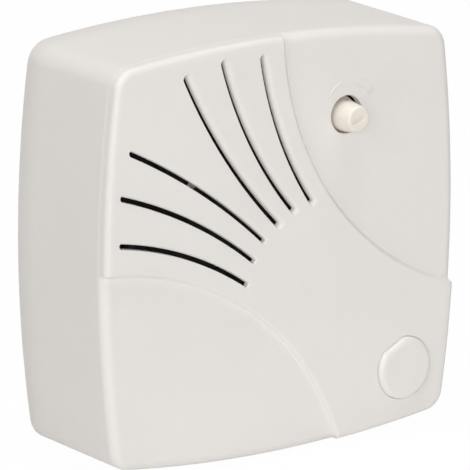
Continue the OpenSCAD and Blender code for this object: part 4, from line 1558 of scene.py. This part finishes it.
@dataclass
class VolumeControl:
    """The volume control with its cream spindle."""

    at: Point = (15.8, 25.3)
    journal_r: float = 3.0
    shaft_r: float = 3.46
    tip_r: float = 2.7
    foot_r: float = 2.0
    levels: Sizes = (10.5, 11.5, 13.9, 29.0, 34.7)
    shoulder_r: float = 3.85
    shoulder: Point = (27.2, 28.3)
    slot_turn: float = 20.0
    slot_w: float = 0.8
    slot_l: float = 3.4
    slot_d: float = 0.4
    slot_edge: float = 0.1
    slot_sharp: float = 55.0

    def spindle(self) -> None:
        """Build the tapered spindle with the screwdriver slot in its tip."""
        foot, wiper, collar, taper, tip = self.levels
        low, high = self.shoulder
        profile = rounded([
            (0, foot, 0), (self.foot_r, foot, 0), (self.foot_r, wiper, 0), (self.journal_r, wiper, 0),
            (self.journal_r, collar, 0), (self.shaft_r, collar, 0.3), (self.shaft_r, low, 0.2),
            (self.shoulder_r, low, 0.2), (self.shoulder_r, high, 0.2), (self.shaft_r, high, 0.1),
            (self.shaft_r, taper, 1.5), (self.tip_r, tip, 0.55), (0, tip, 0)], 6)
        shell = Shell()
        shell.lathe(profile, about(*self.at), False, 96)
        corners = turned_box(self.at, self.slot_turn, self.slot_l, self.slot_w)
        cutter = bars([(corners, tip - self.slot_d, tip + 2)])
        mesh = carve("spindle_tip", shell.mesh("spindle_blank", [SPINDLE_PLASTIC]), cutter)
        soften(mesh, self.slot_edge, self.slot_sharp)
        settle("spindle_tip", mesh, Body.SPINDLE, SPINDLE_PLASTIC, "volume_spindle")

    def build(self) -> None:
        """Build the spindle and the control under it."""
        self.spindle()
        soft_copy("volume_wiper", BRASS, 0.1, body=Body.SPINDLE)
        soft_copy("volume_case", BLACK_PLASTIC, 0.3)
        soft_copy("volume_wafer", PHENOLIC, 0.1)


@dataclass
class Loudspeaker:
    """The loudspeaker: basket, magnet system, cone, surround, gasket, tags and clamps."""

    tools: Workshop
    at: Point = (-15.5, 15.5)
    flange_top: float = 25.6
    flange_z: float = 24.8
    basket_z: float = 17.3
    basket_t: float = 0.6
    basket_r: float = 13.4
    rim_r: float = 25.0
    rim_inner_r: float = 21.8
    window_w: float = 10.0
    window_levels: Point = (18.7, 23.2)
    gap_r: float = 7.2
    pole_r: float = 6.2
    plate_r: float = 12.5
    magnet_r: float = 13.0
    magnet_hole_r: float = 8.5
    magnet_z: float = 11.7
    plate_z: float = 15.7
    yoke_z: float = 10.1
    neck_r: float = 6.65
    neck_z: float = 19.3
    edge_r: float = 18.9
    edge_z: float = 24.6
    ripple_h: float = 0.03
    ripple_rate: float = 4.2
    lip_r: float = 19.07
    lip_z: float = 25.75
    cone_t: float = 0.35
    cone_curve: float = 0.85
    cap_r: float = 7.65
    cap_z: float = 20.33
    cap_h: float = 1.9
    cap_t: float = 0.26
    cap_hollow: float = 0.975
    cap_rim: Point = (-0.35, 0.02)
    coil_r: float = 6.45
    former_t: float = 0.15
    winding_t: float = 0.3
    winding: Point = (15.15, 17.85)
    former: Point = (14.15, 19.7)
    roll_c: float = 20.5
    roll_r: float = 1.1
    surround_t: float = 0.4
    surround_r: float = 24.0
    spider_t: float = 0.25
    spider_wave: float = 0.15
    gasket_r: float = 22.2
    gasket_top: float = 28.5
    clamp_turns: Sizes = (-45.0, 60.0, 210.0)
    clamp_r: float = 27.0
    clamp_screw: Point3 = (1.3, 9.0, 2.4)
    washer_radii: Point = (1.45, 2.9)
    washer_t: float = 0.7
    cap_dab: Point = (2.5, -128.0)
    cone_dabs: tuple[Point, ...] = ((10.8, -74.0), (10.8, -60.0))
    dab_r: float = 1.0
    dab_h: float = 0.45
    dab_wobble: float = 0.12
    dab_stand: Point = (0.03, 0.06)
    tag_side: float = 2.6
    lead_r: float = 0.6
    lead_start: Point = (-10.3, 23.48)
    lead_end: Point = (-6.5, 8.64)
    lead_route: tuple[Point3, ...] = (
        (0, 0, 0), (0, 0, -2), (-0.4, -0.3, -4.5), (-0.6, 0.3, -7), (-0.3, 1.8, -9.5), (0, 3.6, -11.5),
        (0, 4.4, -13), (0, 4.4, -14))
    board_top: float = 8.6
    solder: tuple[Point, ...] = ((0, 0.75), (0.55, 0.68), (0.75, 0.45), (0.95, 0.16), (1.2, 0.0), (0, -0.01))

    @property
    def cap_sphere(self) -> float:
        """Radius of the sphere that the dust cap is cut from."""
        return (self.cap_r ** 2 + self.cap_h ** 2) / (2 * self.cap_h)

    def cone_z(self, r: float) -> float:
        """Height of the cone's rear surface at a radius."""
        share = (r - self.neck_r) / (self.edge_r - self.neck_r)
        return self.neck_z + (self.edge_z - self.neck_z) * share ** self.cone_curve

    def basket(self) -> None:
        """Build the pressed basket with its four windows."""
        lean = (self.flange_z - self.basket_z) / (self.rim_inner_r - self.basket_r)
        hole_r, top = self.gap_r + 1, self.basket_z + self.basket_t
        profile = rounded([
            (hole_r, self.basket_z, 0), (self.basket_r, self.basket_z, 0.5),
            (self.rim_inner_r, self.flange_z, 0.6), (self.rim_r, self.flange_z, 0.2),
            (self.rim_r, self.flange_top, 0.2), (self.rim_inner_r - 0.4, self.flange_top, 0.5),
            (self.basket_r - 0.5, top, 0.4), (hole_r, top, 0)])
        shell = Shell()
        shell.lathe(profile, about(*self.at), True, 120)
        low, high = self.window_levels
        inner = self.basket_r - 1 - 0.5 / lean
        outer = self.rim_r + 3
        boxes = []
        for turn in (0.0, 90.0, 180.0, 270.0):
            at = beside(self.at, (inner + outer) / 2, turn)
            boxes.append((turned_box(at, turn, outer - inner, self.window_w), low, high))
        mesh = carve("basket_pressing", shell.mesh("basket_blank", [ZINC_STEEL]), bars(boxes))
        clean(mesh)
        settle("basket_pressing", mesh, Body.BASE, ZINC_STEEL, "speaker_basket")

    def magnet_system(self) -> None:
        """Build the magnet between its two steel plates."""
        ring = ring_profile(self.magnet_hole_r, self.magnet_r, self.magnet_z, self.plate_z, (0.35, 0.35))
        turned("magnet_ring", ring, self.at, FERRITE, True, "speaker_magnet")
        plate = ring_profile(self.gap_r, self.plate_r, self.plate_z, self.basket_z, (0.2, 0.2))
        turned("front_pole_plate", plate, self.at, ZINC_STEEL, True, "speaker_top_plate")
        yoke = rounded([
            (0, self.yoke_z, 0), (self.plate_r, self.yoke_z, 0.25), (self.plate_r, self.magnet_z, 0.25),
            (self.pole_r, self.magnet_z, 0.2), (self.pole_r, self.basket_z, 0.2), (0, self.basket_z, 0)])
        turned("rear_pole_plate", yoke, self.at, ZINC_STEEL, False, "speaker_yoke")

    def moving_parts(self) -> None:
        """Build the cone, its dust cap, the voice coil and the dabs of glue."""
        radii = np.linspace(self.neck_r, self.edge_r, 49)
        free = (radii > self.cap_r + 0.6) & (radii < self.edge_r - 0.4)
        ripple = self.ripple_h * np.sin((radii - self.neck_r) * self.ripple_rate) * free
        back = [(float(r), self.cone_z(float(r))) for r in radii]
        front = [(r, z + self.cone_t + float(w)) for (r, z), w in zip(back, ripple)]
        lip = [(self.lip_r, self.edge_z), (self.lip_r, self.lip_z), (self.edge_r, self.lip_z)]
        profile = back + lip + front[::-1]
        turned("pulp_cone", profile, self.at, CONE_PAPER, True, "speaker_cone", steps=120, body=Body.CONE)
        sphere = self.cap_sphere
        foot = self.cap_z + self.cap_h - sphere
        reach = asin(self.cap_r / sphere)
        turns = [reach * k / 20 for k in range(21)]
        outer = [(sphere * sin(a), foot + sphere * cos(a)) for a in turns]
        inner = [(r * self.cap_hollow, z - self.cap_t) for r, z in outer[:-1]]
        rim = (outer[-1][0] + self.cap_rim[0], outer[-1][1] + self.cap_rim[1])
        cap = [*outer, rim, *inner[::-1]]
        turned("pulp_dust_cap", cap, self.at, CONE_PAPER, False, "speaker_dust_cap", body=Body.CONE)
        former_r = self.coil_r + self.former_t
        tube = ring_profile(self.coil_r, former_r, *self.former, (0, 0))
        turned("coil_tube", tube, self.at, COIL_PAPER, True, "coil_former", body=Body.CONE)
        winding = ring_profile(former_r, former_r + self.winding_t, *self.winding, (0.1, 0.1))
        turned("coil_winding", winding, self.at, COPPER, True, "voice_coil", body=Body.CONE)
        self.glue()

    def cap_z_at(self, r: float) -> float:
        """Height of the dust cap's front at a radius."""
        return self.cap_z + self.cap_h - self.cap_sphere + sqrt(self.cap_sphere ** 2 - r ** 2)

    def dab(self, shell: Shell, r: float, turn: float, level: Callable[[float], float]) -> None:
        """Set a low uneven drop of glue on a sloping surface.

        Args:
            shell: Shell that takes the drop.
            r: Distance of the drop from the loudspeaker's axis.
            turn: Its place round the axis in degrees.
            level: Height of the surface at a distance from the axis.
        """
        spot = np.array(beside((0.0, 0.0), r, turn))

        def place(u: float, v: float, w: float) -> Point3:
            """Put a point of the drop on the slope, a little out of round."""
            x, y = spot + np.array([u, v]) * (1 + self.dab_wobble * sin(3 * atan2(v, u) + turn))
            return (self.at[0] + x, self.at[1] + y, level(hypot(x, y)) + w)

        low, high = self.dab_stand
        drop: list[Point] = [(0.0, high + self.dab_h)]
        for t in range(12, 96, 12):
            a = radians(min(t, 90))
            drop.append((self.dab_r * sin(a), high + self.dab_h * cos(a)))
        drop += [(0.6 * self.dab_r, low), (0.0, low)]
        shell.lathe(drop, place, False, 32)

    def glue(self) -> None:
        """Build the dabs of glue: one on the dust cap, two on the cone."""
        shell = Shell()
        self.dab(shell, *self.cap_dab, self.cap_z_at)
        for r, turn in self.cone_dabs:
            self.dab(shell, r, turn, lambda radius: self.cone_z(radius) + self.cone_t)
        shell.piece("glue_drops", [GLUE], Body.CONE, "glue_dabs")

    def suspension(self) -> None:
        """Build the rolled surround, the spider and the foam gasket."""
        outer = self.roll_r + self.surround_t / 2
        inner = self.roll_r - self.surround_t / 2
        top = self.flange_top + self.surround_t
        meet = asin(self.surround_t / outer)
        crest = [(self.roll_c + outer * cos(a), self.flange_top + outer * sin(a))
                 for a in np.linspace(pi, meet, 16)]
        hollow = [(self.roll_c + inner * cos(a), self.flange_top + inner * sin(a))
                  for a in np.linspace(0, pi, 14)]
        profile = crest + [(self.surround_r, top), (self.surround_r, self.flange_top)] + hollow
        turned("rolled_surround", profile, self.at, FOAM, True, "speaker_surround", steps=120)
        steps = 48
        waves = []
        for k in range(steps + 1):
            share = k / steps
            rise = self.spider_wave * (1 - cos(4 * pi * share))
            waves.append((self.gap_r + (self.basket_r - 0.9 - self.gap_r) * share,
                          self.basket_z + self.basket_t + rise))
        spider = waves + [(r, z + self.spider_t) for r, z in waves[::-1]]
        turned("cloth_spider", spider, self.at, SPIDER_CLOTH, True, "speaker_spider")
        middle = (top + self.gasket_top) / 2
        pad = rounded([(self.gasket_r, middle, 0), (self.gasket_r, top, 0.2), (self.surround_r, top, 0.2),
                       (self.surround_r, self.gasket_top, 0.55), (self.gasket_r, self.gasket_top, 0.55),
                       (self.gasket_r, middle + 0.1, 0)])
        gasket = turned("foam_gasket", pad, self.at, FOAM, True, "speaker_gasket", steps=120)

    def clamps(self) -> None:
        """Set washers and screws on the three clamp posts."""
        repeater = self.tools.repeater
        spots = [((*beside(self.at, self.clamp_r, turn), self.flange_top), 23.0 + 31.0 * k)
                 for k, turn in enumerate(self.clamp_turns)]
        hole, r = self.washer_radii
        t = self.washer_t
        shell = Shell()
        shell.lathe(rounded([(hole, t / 2, 0), (hole, 0, 0.1), (r, 0, 0.15), (r, t, 0.2), (hole, t, 0.2),
                             (hole, t / 2 + 0.01, 0)]), about(0, 0), True, 48)
        repeater.piece("clamp_rings", shell.mesh("washer", []), spots, ZINC_STEEL, "clamp_washers")
        raised = [((x, y, z + t), turn) for (x, y, z), turn in spots]
        bolt = self.tools.screws.pan(*self.clamp_screw)
        repeater.piece("clamp_bolts", bolt, raised, ZINC_STEEL, "clamp_screws")

    def leads(self) -> None:
        """Run the two leads from the tags to the board, with their solder."""
        last = self.lead_route[-1]
        y, z = self.lead_start
        end_y, end_z = self.lead_end
        for side, finish, name in ((-1, WIRE_RED, "red"), (1, WIRE_BLACK, "black")):
            x = self.at[0] + side * self.tag_side
            points = [(x + side * p[0], y + p[1] * (end_y - y) / last[1], z + p[2] * (z - end_z) / -last[2])
                      for p in self.lead_route]
            self.tools.sweeper.piece(f"{name}_lead", [smooth_route(points)], self.lead_r, 14, 0.35, finish,
                                     f"speaker_lead_{name}")
        shell = Shell()
        shell.lathe(self.solder, about(0, 0), False, 24)
        spots = [((self.at[0] + side * self.tag_side, end_y, self.board_top), 40.0 * side)
                 for side in (-1, 1)]
        self.tools.repeater.piece("lead_solder", shell.mesh("joint", []), spots, SOLDER)

    def build(self) -> None:
        """Build the whole loudspeaker."""
        self.basket()
        self.magnet_system()
        self.moving_parts()
        self.suspension()
        self.clamps()
        self.leads()
        soft_copy("speaker_tag_strip", PHENOLIC, 0.12)
        soft_copy("speaker_tags", BRASS, 0.06)


@dataclass
class BackPlate:
    """The plate that is screwed to the wall."""

    edge: float = 0.25

    def build(self) -> None:
        """Replace the plate by one with rounded edges."""
        soft_copy("back_plate", PLATE_PLASTIC, self.edge)


@dataclass
class CircuitBoard:
    """The circuit board with its small parts and its screw terminal."""

    tools: Workshop
    top: float = 8.6
    under: float = 7.0
    pitch: float = 2.54
    chips: tuple[tuple[str, Point], ...] = (
        ("melody_chip", (22.0, 3.0)), ("amplifier_chip", (19.0, -10.0)))
    chip_size: Point3 = (9.4, 6.4, 3.3)
    chip_stand: float = 0.5
    chip_row: float = 3.81
    leg_t: float = 0.25
    leg_halves: Point = (0.62, 0.25)
    leg_below: float = 0.8
    cans: tuple[Point, ...] = ((8.0, -25.0), (8.0, -15.8))
    can_r: float = 4.0
    can_h: float = 11.5
    stripe_turns: Point = (200.0, 225.0)
    stripe_half: float = 0.42
    score_size: Point = (4.4, 0.3)
    score_turns: Point = (20.0, 110.0)
    bridge_at: Point = (18.5, -20.0)
    bridge_r: float = 4.4
    bridge_z: Point = (9.4, 14.6)
    resistor_first: Point = (9.0, 3.0)
    resistor_step: float = 3.6
    resistor_r: float = 1.15
    resistor_l: float = 6.2
    resistor_span: float = 10.16
    resistor_waist: float = 0.2
    resistor_rings: Sizes = (-1.95, -0.95, -0.15, 1.95)
    ring_half: float = 0.26
    wire_r: float = 0.3
    discs: tuple[Point, ...] = ((30.0, 10.0), (30.0, 14.5))
    disc_r: float = 2.75
    disc_t: float = 2.2
    disc_z: float = 12.35
    screws: tuple[Point, ...] = ((-30.5, -4.0), (-30.5, 30.5), (30.5, 30.5), (15.0, -30.5))
    terminal_ys: Sizes = (-31.08, -26.0, -20.92)
    terminal_screw_x: float = -4.3
    terminal_screw_z: float = 15.0
    terminal_screw: Sizes = (1.25, 1.8, 1.7, 1.8)
    board_screw: Point3 = (1.1, 5.6, 2.3)
    ink_r: float = 0.13
    ink_frames: tuple[tuple[Point, float, float], ...] = (
        ((-3.5, -26.0), 8.6, 16.8), ((15.8, 25.3), 15.8, 15.8), ((30.7, -30.7), 7.2, 7.2))
    plain_legs: tuple[str, ...] = (
        "switch_legs", "volume_legs", "terminal_legs", "capacitor_legs", "bridge_legs", "ceramic_legs",
        "transistor_legs")

    def board(self) -> None:
        """Dress the board and draw the white outlines of its parts."""
        soft_copy("circuit_board", BOARD_LAMINATE, 0.08, 1)
        chip_l, chip_w = self.chip_size[0] + 1.2, 2 * self.chip_row + 2.2
        lines = [self.frame_line(at, chip_l, chip_w) for _, at in self.chips]
        lines += [self.circle_line(at, self.can_r + 0.35) for at in self.cans]
        lines.append(self.circle_line(self.bridge_at, self.bridge_r + 0.4))
        lines += [self.frame_line(at, self.resistor_l + 0.8, 3.0) for at in self.resistor_places()]
        lines += [self.frame_line(at, 6.4, 3.2) for at in self.discs]
        lines += [self.frame_line(*ink_frame) for ink_frame in self.ink_frames]
        self.tools.sweeper.piece("board_legend", lines, self.ink_r, 6, 0.6, LEGEND_INK)

    def resistor_places(self) -> list[Point]:
        """Middles of the four resistors."""
        x, y = self.resistor_first
        return [(x, y + self.resistor_step * k) for k in range(4)]

    def frame_line(self, at: Point, width: float, height: float) -> list[Point3]:
        """Closed rectangle on the board about a point."""
        corners = turned_box(at, 0.0, width, height)
        return [(x, y, self.top) for x, y in (*corners, corners[0])]

    def circle_line(self, at: Point, r: float) -> list[Point3]:
        """Closed circle on the board about a point."""
        points = circle(at, r, 40)
        return [(float(x), float(y), self.top) for x, y in (*points, points[0])]

    def chip_legs(self) -> None:
        """Set bent legs along both sides of the two chips."""
        half_t = self.leg_t / 2
        wide, narrow = self.leg_halves
        shoulder = self.top + self.chip_stand + self.chip_size[2] / 2
        reach = self.chip_row + half_t
        path = [(self.chip_size[1] / 2 - 0.1, shoulder - half_t), (reach - 0.3, shoulder - half_t),
                (reach - 0.16, shoulder - 0.18), (reach - half_t, shoulder - 0.35),
                (reach - half_t, self.under - self.leg_below)]
        shell = Shell()
        rings = []
        for k, (y, z) in enumerate(path):
            before, after = path[max(k - 1, 0)], path[min(k + 1, len(path) - 1)]
            along = np.array([after[0] - before[0], after[1] - before[1]])
            along /= np.linalg.norm(along)
            half_w = wide if k < len(path) - 1 else narrow
            across = half_t * np.array([-along[1], along[0]])
            rings.append(shell.add([(s * half_w, y + t * across[0], z - self.top + t * across[1])
                                    for s, t in ((-1, -1), (1, -1), (1, 1), (-1, 1))]))
        shell.bridges(rings)
        shell.face(*rings[0])
        shell.face(*rings[-1])
        template = shell.mesh("chip_leg", [])
        for node, (x, y) in self.chips:
            places = [((x + (k - 1.5) * self.pitch, y, self.top), turn)
                      for k in range(4) for turn in (0.0, 180.0)]
            self.tools.repeater.piece(node + "_pins", template.copy(), places, TINNED_METAL, node + "_legs")
            soft_copy(node, BLACK_PLASTIC, 0.28)

    def capacitors(self) -> None:
        """Build the two cans: sleeve with a pale stripe, rolled shoulder and scored top."""
        shell = Shell()
        metal = Shell()
        z0, z1 = self.top, self.top + self.can_h
        r = self.can_r
        for (x, y), stripe_turn in zip(self.cans, self.stripe_turns):
            sleeve = rounded([
                (0, z0 + 0.02, 0), (r - 0.5, z0 + 0.02, 0.2), (r, z0 + 0.5, 0.4), (r, z0 + 1.3, 0.5),
                (r - 0.35, z0 + 1.8, 0.5), (r, z0 + 2.3, 0.5), (r, z1 - 0.12, 0.35),
                (r - 0.75, z1 - 0.1, 0.15), (r - 0.8, z1 - 0.4, 0)])
            middle = radians(stripe_turn)

            def stripe(turn: float, height: float, middle: float = middle) -> int:
                """Finish of the sleeve by turn: the pale stripe marks one side."""
                apart = abs((turn - middle + pi) % (2 * pi) - pi)
                return 1 if apart < self.stripe_half and height < z1 - 0.2 else 0

            shell.lathe([*sleeve, (0, z1 - 0.4)], about(x, y), False, 72, stripe)
            metal.lathe(rounded([
                (0, z1 - 0.35, 0), (r - 0.82, z1 - 0.35, 0.1), (r - 0.95, z1 - 0.14, 0.12),
                (r - 1.4, z1 - 0.2, 0.1), (0, z1 - 0.2, 0)]), about(x, y), False, 72)
        shell.piece("can_sleeves", [CAN_SLEEVE, CAN_STRIPE], Body.BASE, "smoothing_capacitors")
        blank = metal.mesh("can_tops", [CAN_METAL])
        for turn in self.score_turns:
            scores = [(turned_box(at, turn, *self.score_size), z1 - 0.28, z1 + 1) for at in self.cans]
            blank = carve("can_tops", blank, bars(scores))
        clean(blank, 30.0)
        settle("can_tops", blank, Body.BASE, CAN_METAL)

    def resistors(self) -> None:
        """Build the resistors with colour rings and bent wires."""
        z = self.top + self.resistor_r + 0.2
        half = self.resistor_l / 2
        profile: list[Point] = [(0.0, -half), (0.5, -half)]
        for k in range(63):
            w = -half + 0.12 + (self.resistor_l - 0.24) * k / 62
            end = smooth_share(np.array([(abs(w) - 1.2) / 0.5]))[0]
            cap = sqrt(max(0.05, 1 - max(0.0, (abs(w) - half + 0.55) / 0.62) ** 2))
            profile.append((float((self.resistor_r - self.resistor_waist * (1 - end)) * cap), w))
        profile += [(0.5, half), (0.0, half)]

        def ring_at(turn: float, w: float) -> int:
            """Finish of the body by its length: the lacquer or one of the rings."""
            kinds = enumerate(self.resistor_rings, 1)
            return next((kind for kind, middle in kinds if abs(w - middle) < self.ring_half), 0)

        shell = Shell()
        routes = []
        for x, y in self.resistor_places():
            shell.lathe(profile, lambda u, v, w, x=x, y=y: (x + w, y + u, z + v), False, 32, ring_at)
            for side in (-1, 1):
                end = x + side * self.resistor_span / 2
                routes.append([
                    (x + side * (half - 0.3), y, z), (end - side * 0.7, y, z), (end - side * 0.2, y, z - 0.2),
                    (end, y, z - 0.7), (end, y, self.under - self.leg_below)])
        shell.piece("resistor_bodies", [RESISTOR_LACQUER, *RING_INKS], Body.BASE, "resistors", sharp=60.0)
        self.tools.sweeper.piece(
            "resistor_wires", routes, self.wire_r, 12, 0.25, TINNED_METAL, "resistor_leads")

    def ceramics(self) -> None:
        """Build the lens-shaped ceramic capacitors."""
        shell = Shell()
        half = self.disc_t / 2
        lens = [(self.disc_r * sin(radians(t)) ** 0.6, half * cos(radians(t)) ** 0.8)
                for t in range(0, 90, 6)]
        lens.append((self.disc_r, 0.0))
        lens[0] = (0.0, half)
        lens += [(r, -z) for r, z in lens[-2::-1]]
        for x, y in self.discs:
            shell.lathe(lens, lambda u, v, w, x=x, y=y: (x + u, y + w, self.disc_z + v), False, 48)
        shell.piece("ceramic_lenses", [CERAMIC_LACQUER], Body.BASE, "ceramic_capacitors")

    def terminal(self) -> None:
        """Dress the screw terminal."""
        soft_copy("terminal_housing", TERMINAL_PLASTIC, 0.2)
        soft_copy("terminal_clamps", ZINC_STEEL, 0.12)
        places = [((self.terminal_screw_x, y, self.terminal_screw_z), 20.0 + 65.0 * k)
                  for k, y in enumerate(self.terminal_ys)]
        bolt = self.tools.screws.slotted(*self.terminal_screw)
        self.tools.repeater.piece("terminal_bolts", bolt, places, ZINC_STEEL, "terminal_screws")

    def build(self) -> None:
        """Build the board and everything on it."""
        self.board()
        self.chip_legs()
        self.capacitors()
        self.resistors()
        self.ceramics()
        self.terminal()
        disc = ring_profile(0, self.bridge_r, *self.bridge_z, (0.3, 0.5))
        turned("bridge_body", disc, self.bridge_at, BLACK_PLASTIC, False, "bridge_rectifier")
        soft_copy("driver_transistor", BLACK_PLASTIC, 0.2)
        places = [((x, y, self.top), 15.0 + 40.0 * k) for k, (x, y) in enumerate(self.screws)]
        bolt = self.tools.screws.pan(*self.board_screw)
        self.tools.repeater.piece("board_bolts", bolt, places, ZINC_STEEL, "board_screws")
        for node in self.plain_legs:
            mesh = frame["nodes"][node].data
            mesh.materials.clear()
            mesh.materials.append(TINNED_METAL.material())


@dataclass(frozen=True)
class Lamp:
    """A square lamp that faces the box: its place and side in metres, and its power in watts."""

    name: str
    place: Point3
    power: float
    size: float
    aim: Point3 = (0.0, -0.016, 0.0)

    def hang(self) -> None:
        """Put the lamp into the scene."""
        light = bpy.data.lights.new(self.name, "AREA")
        light.energy = self.power
        light.size = self.size
        lamp = bpy.data.objects.new(self.name, light)
        away = Vector(self.place) - Vector(self.aim)
        lamp.matrix_world = Matrix.Translation(self.place) @ away.to_track_quat("Z", "Y").to_matrix().to_4x4()
        bpy.context.scene.collection.objects.link(lamp)


@dataclass
class Studio:
    """Floor, light and camera, with places in the frame's metres and turns in degrees."""

    floor_z: float = -45.2 * MM
    floor_size: float = 8.0
    floor_colour: Point3 = (0.90, 0.90, 0.90)
    floor_roughness: float = 0.9
    floor_glow: float = 0.98
    white: Sizes = (1.0, 1.0, 1.0, 1.0)
    ambient: float = 0.075
    lamps: tuple[Lamp, ...] = (
        Lamp("key", (-0.83, -1.20, 0.37), 6.4, 0.3), Lamp("fill", (0.25, -1.45, 0.55), 4.4, 1.0),
        Lamp("side", (-1.35, -0.75, 0.55), 6.2, 0.9), Lamp("overhead", (-0.10, -0.10, 1.50), 15.1, 0.9))
    camera_place: Point3 = (-0.4132425, -0.6018177, 0.1865818)
    yaw: float = 35.0732
    pitch: float = 14.6528
    roll: float = 0.3922
    lens: float = 272.918
    sensor_width: float = 36.0
    clip_start: float = 0.01

    def floor(self) -> None:
        """Lay a pale floor that shows white to the camera and keeps the shadow."""
        half = self.floor_size / 2
        mesh = bpy.data.meshes.new("floor")
        corners = ((-half, -half), (half, -half), (half, half), (-half, half))
        mesh.from_pydata([(x, y, self.floor_z) for x, y in corners], [], [(0, 1, 2, 3)])
        material = bpy.data.materials.new("floor_paper")
        material.use_nodes = True
        wiring = Wiring(material.node_tree)
        nodes = material.node_tree.nodes
        paper = nodes["Principled BSDF"]
        wiring.feed(paper, {"Base Color": (*self.floor_colour, 1.0), "Roughness": self.floor_roughness,
                            "Specular IOR Level": 0.0})
        glow = wiring.add("ShaderNodeEmission", {"Color": self.white, "Strength": 1.0})
        mix = wiring.add("ShaderNodeMixShader", {
            0: self.seen(wiring, self.floor_glow), 1: paper.outputs[0], 2: glow.outputs[0]})
        wiring.feed(nodes["Material Output"], {"Surface": mix.outputs[0]})
        mesh.materials.append(material)
        link("floor", mesh)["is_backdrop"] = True

    @staticmethod
    def seen(wiring: Wiring, share: float) -> Any:
        """Tell apart what is looked at, in the open, in a mirror or through glass.

        Args:
            wiring: Tree of the material or the world.
            share: Value for such rays.

        Returns:
            Output with the share for such rays, and 0 for the rest.
        """
        path = wiring.add("ShaderNodeLightPath").outputs
        value = path["Is Camera Ray"]
        for name in ("Is Glossy Ray", "Is Transmission Ray"):
            value = wiring.add("ShaderNodeMath", {0: value, 1: path[name]}, operation="MAXIMUM").outputs[0]
        return wiring.add("ShaderNodeMath", {0: value, 1: share}, operation="MULTIPLY").outputs[0]

    def world(self) -> None:
        """Light evenly from all round, on a white ground."""
        world = bpy.data.worlds.new("studio")
        world.use_nodes = True
        wiring = Wiring(world.node_tree)
        strength = wiring.add("ShaderNodeMapRange", {
            "Value": self.seen(wiring, 1.0), "To Min": self.ambient, "To Max": 1.0})
        wiring.feed(world.node_tree.nodes["Background"], {
            "Color": self.white, "Strength": strength.outputs["Result"]})
        bpy.context.scene.world = world

    def camera(self) -> None:
        """Stand the camera where the photograph was taken from."""
        yaw, pitch, roll = (radians(v) for v in (self.yaw, self.pitch, self.roll))
        back = Vector((-sin(yaw) * cos(pitch), -cos(yaw) * cos(pitch), sin(pitch)))
        level = Vector((0, 0, 1)).cross(back).normalized()
        rise = back.cross(level)
        right = level * cos(roll) + rise * sin(roll)
        up = rise * cos(roll) - level * sin(roll)
        lens = bpy.data.cameras.new("photo_camera")
        lens.lens = self.lens
        lens.sensor_width = self.sensor_width
        lens.clip_start = self.clip_start
        camera = bpy.data.objects.new("photo_camera", lens)
        turn = Matrix((right, up, back)).transposed().to_4x4()
        camera.matrix_world = Matrix.Translation(self.camera_place) @ turn
        bpy.context.scene.collection.objects.link(camera)
        bpy.context.scene.camera = camera

    def build(self) -> None:
        """Set up the studio."""
        self.floor()
        self.world()
        for lamp in self.lamps:
            lamp.hang()
        self.camera()
        bpy.context.scene.view_settings.view_transform = "Standard"


def main() -> None:
    """Build every piece in order, then gather the bounds of the CAD frame and of the finished pieces."""
    logging.basicConfig(level=logging.INFO, format="%(name)s: %(message)s")
    tools = Workshop()
    FrontCover().build()
    PushButton().build()
    VolumeControl().build()
    BackPlate().build()
    Loudspeaker(tools).build()
    CircuitBoard(tools).build()
    Studio().build()
    boxes = {"cad": CAD_BOX, "visual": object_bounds()}
    plain = {key: [[float(v) for v in corner] for corner in box] for key, box in boxes.items()}


if __name__ == "__main__":
    main()
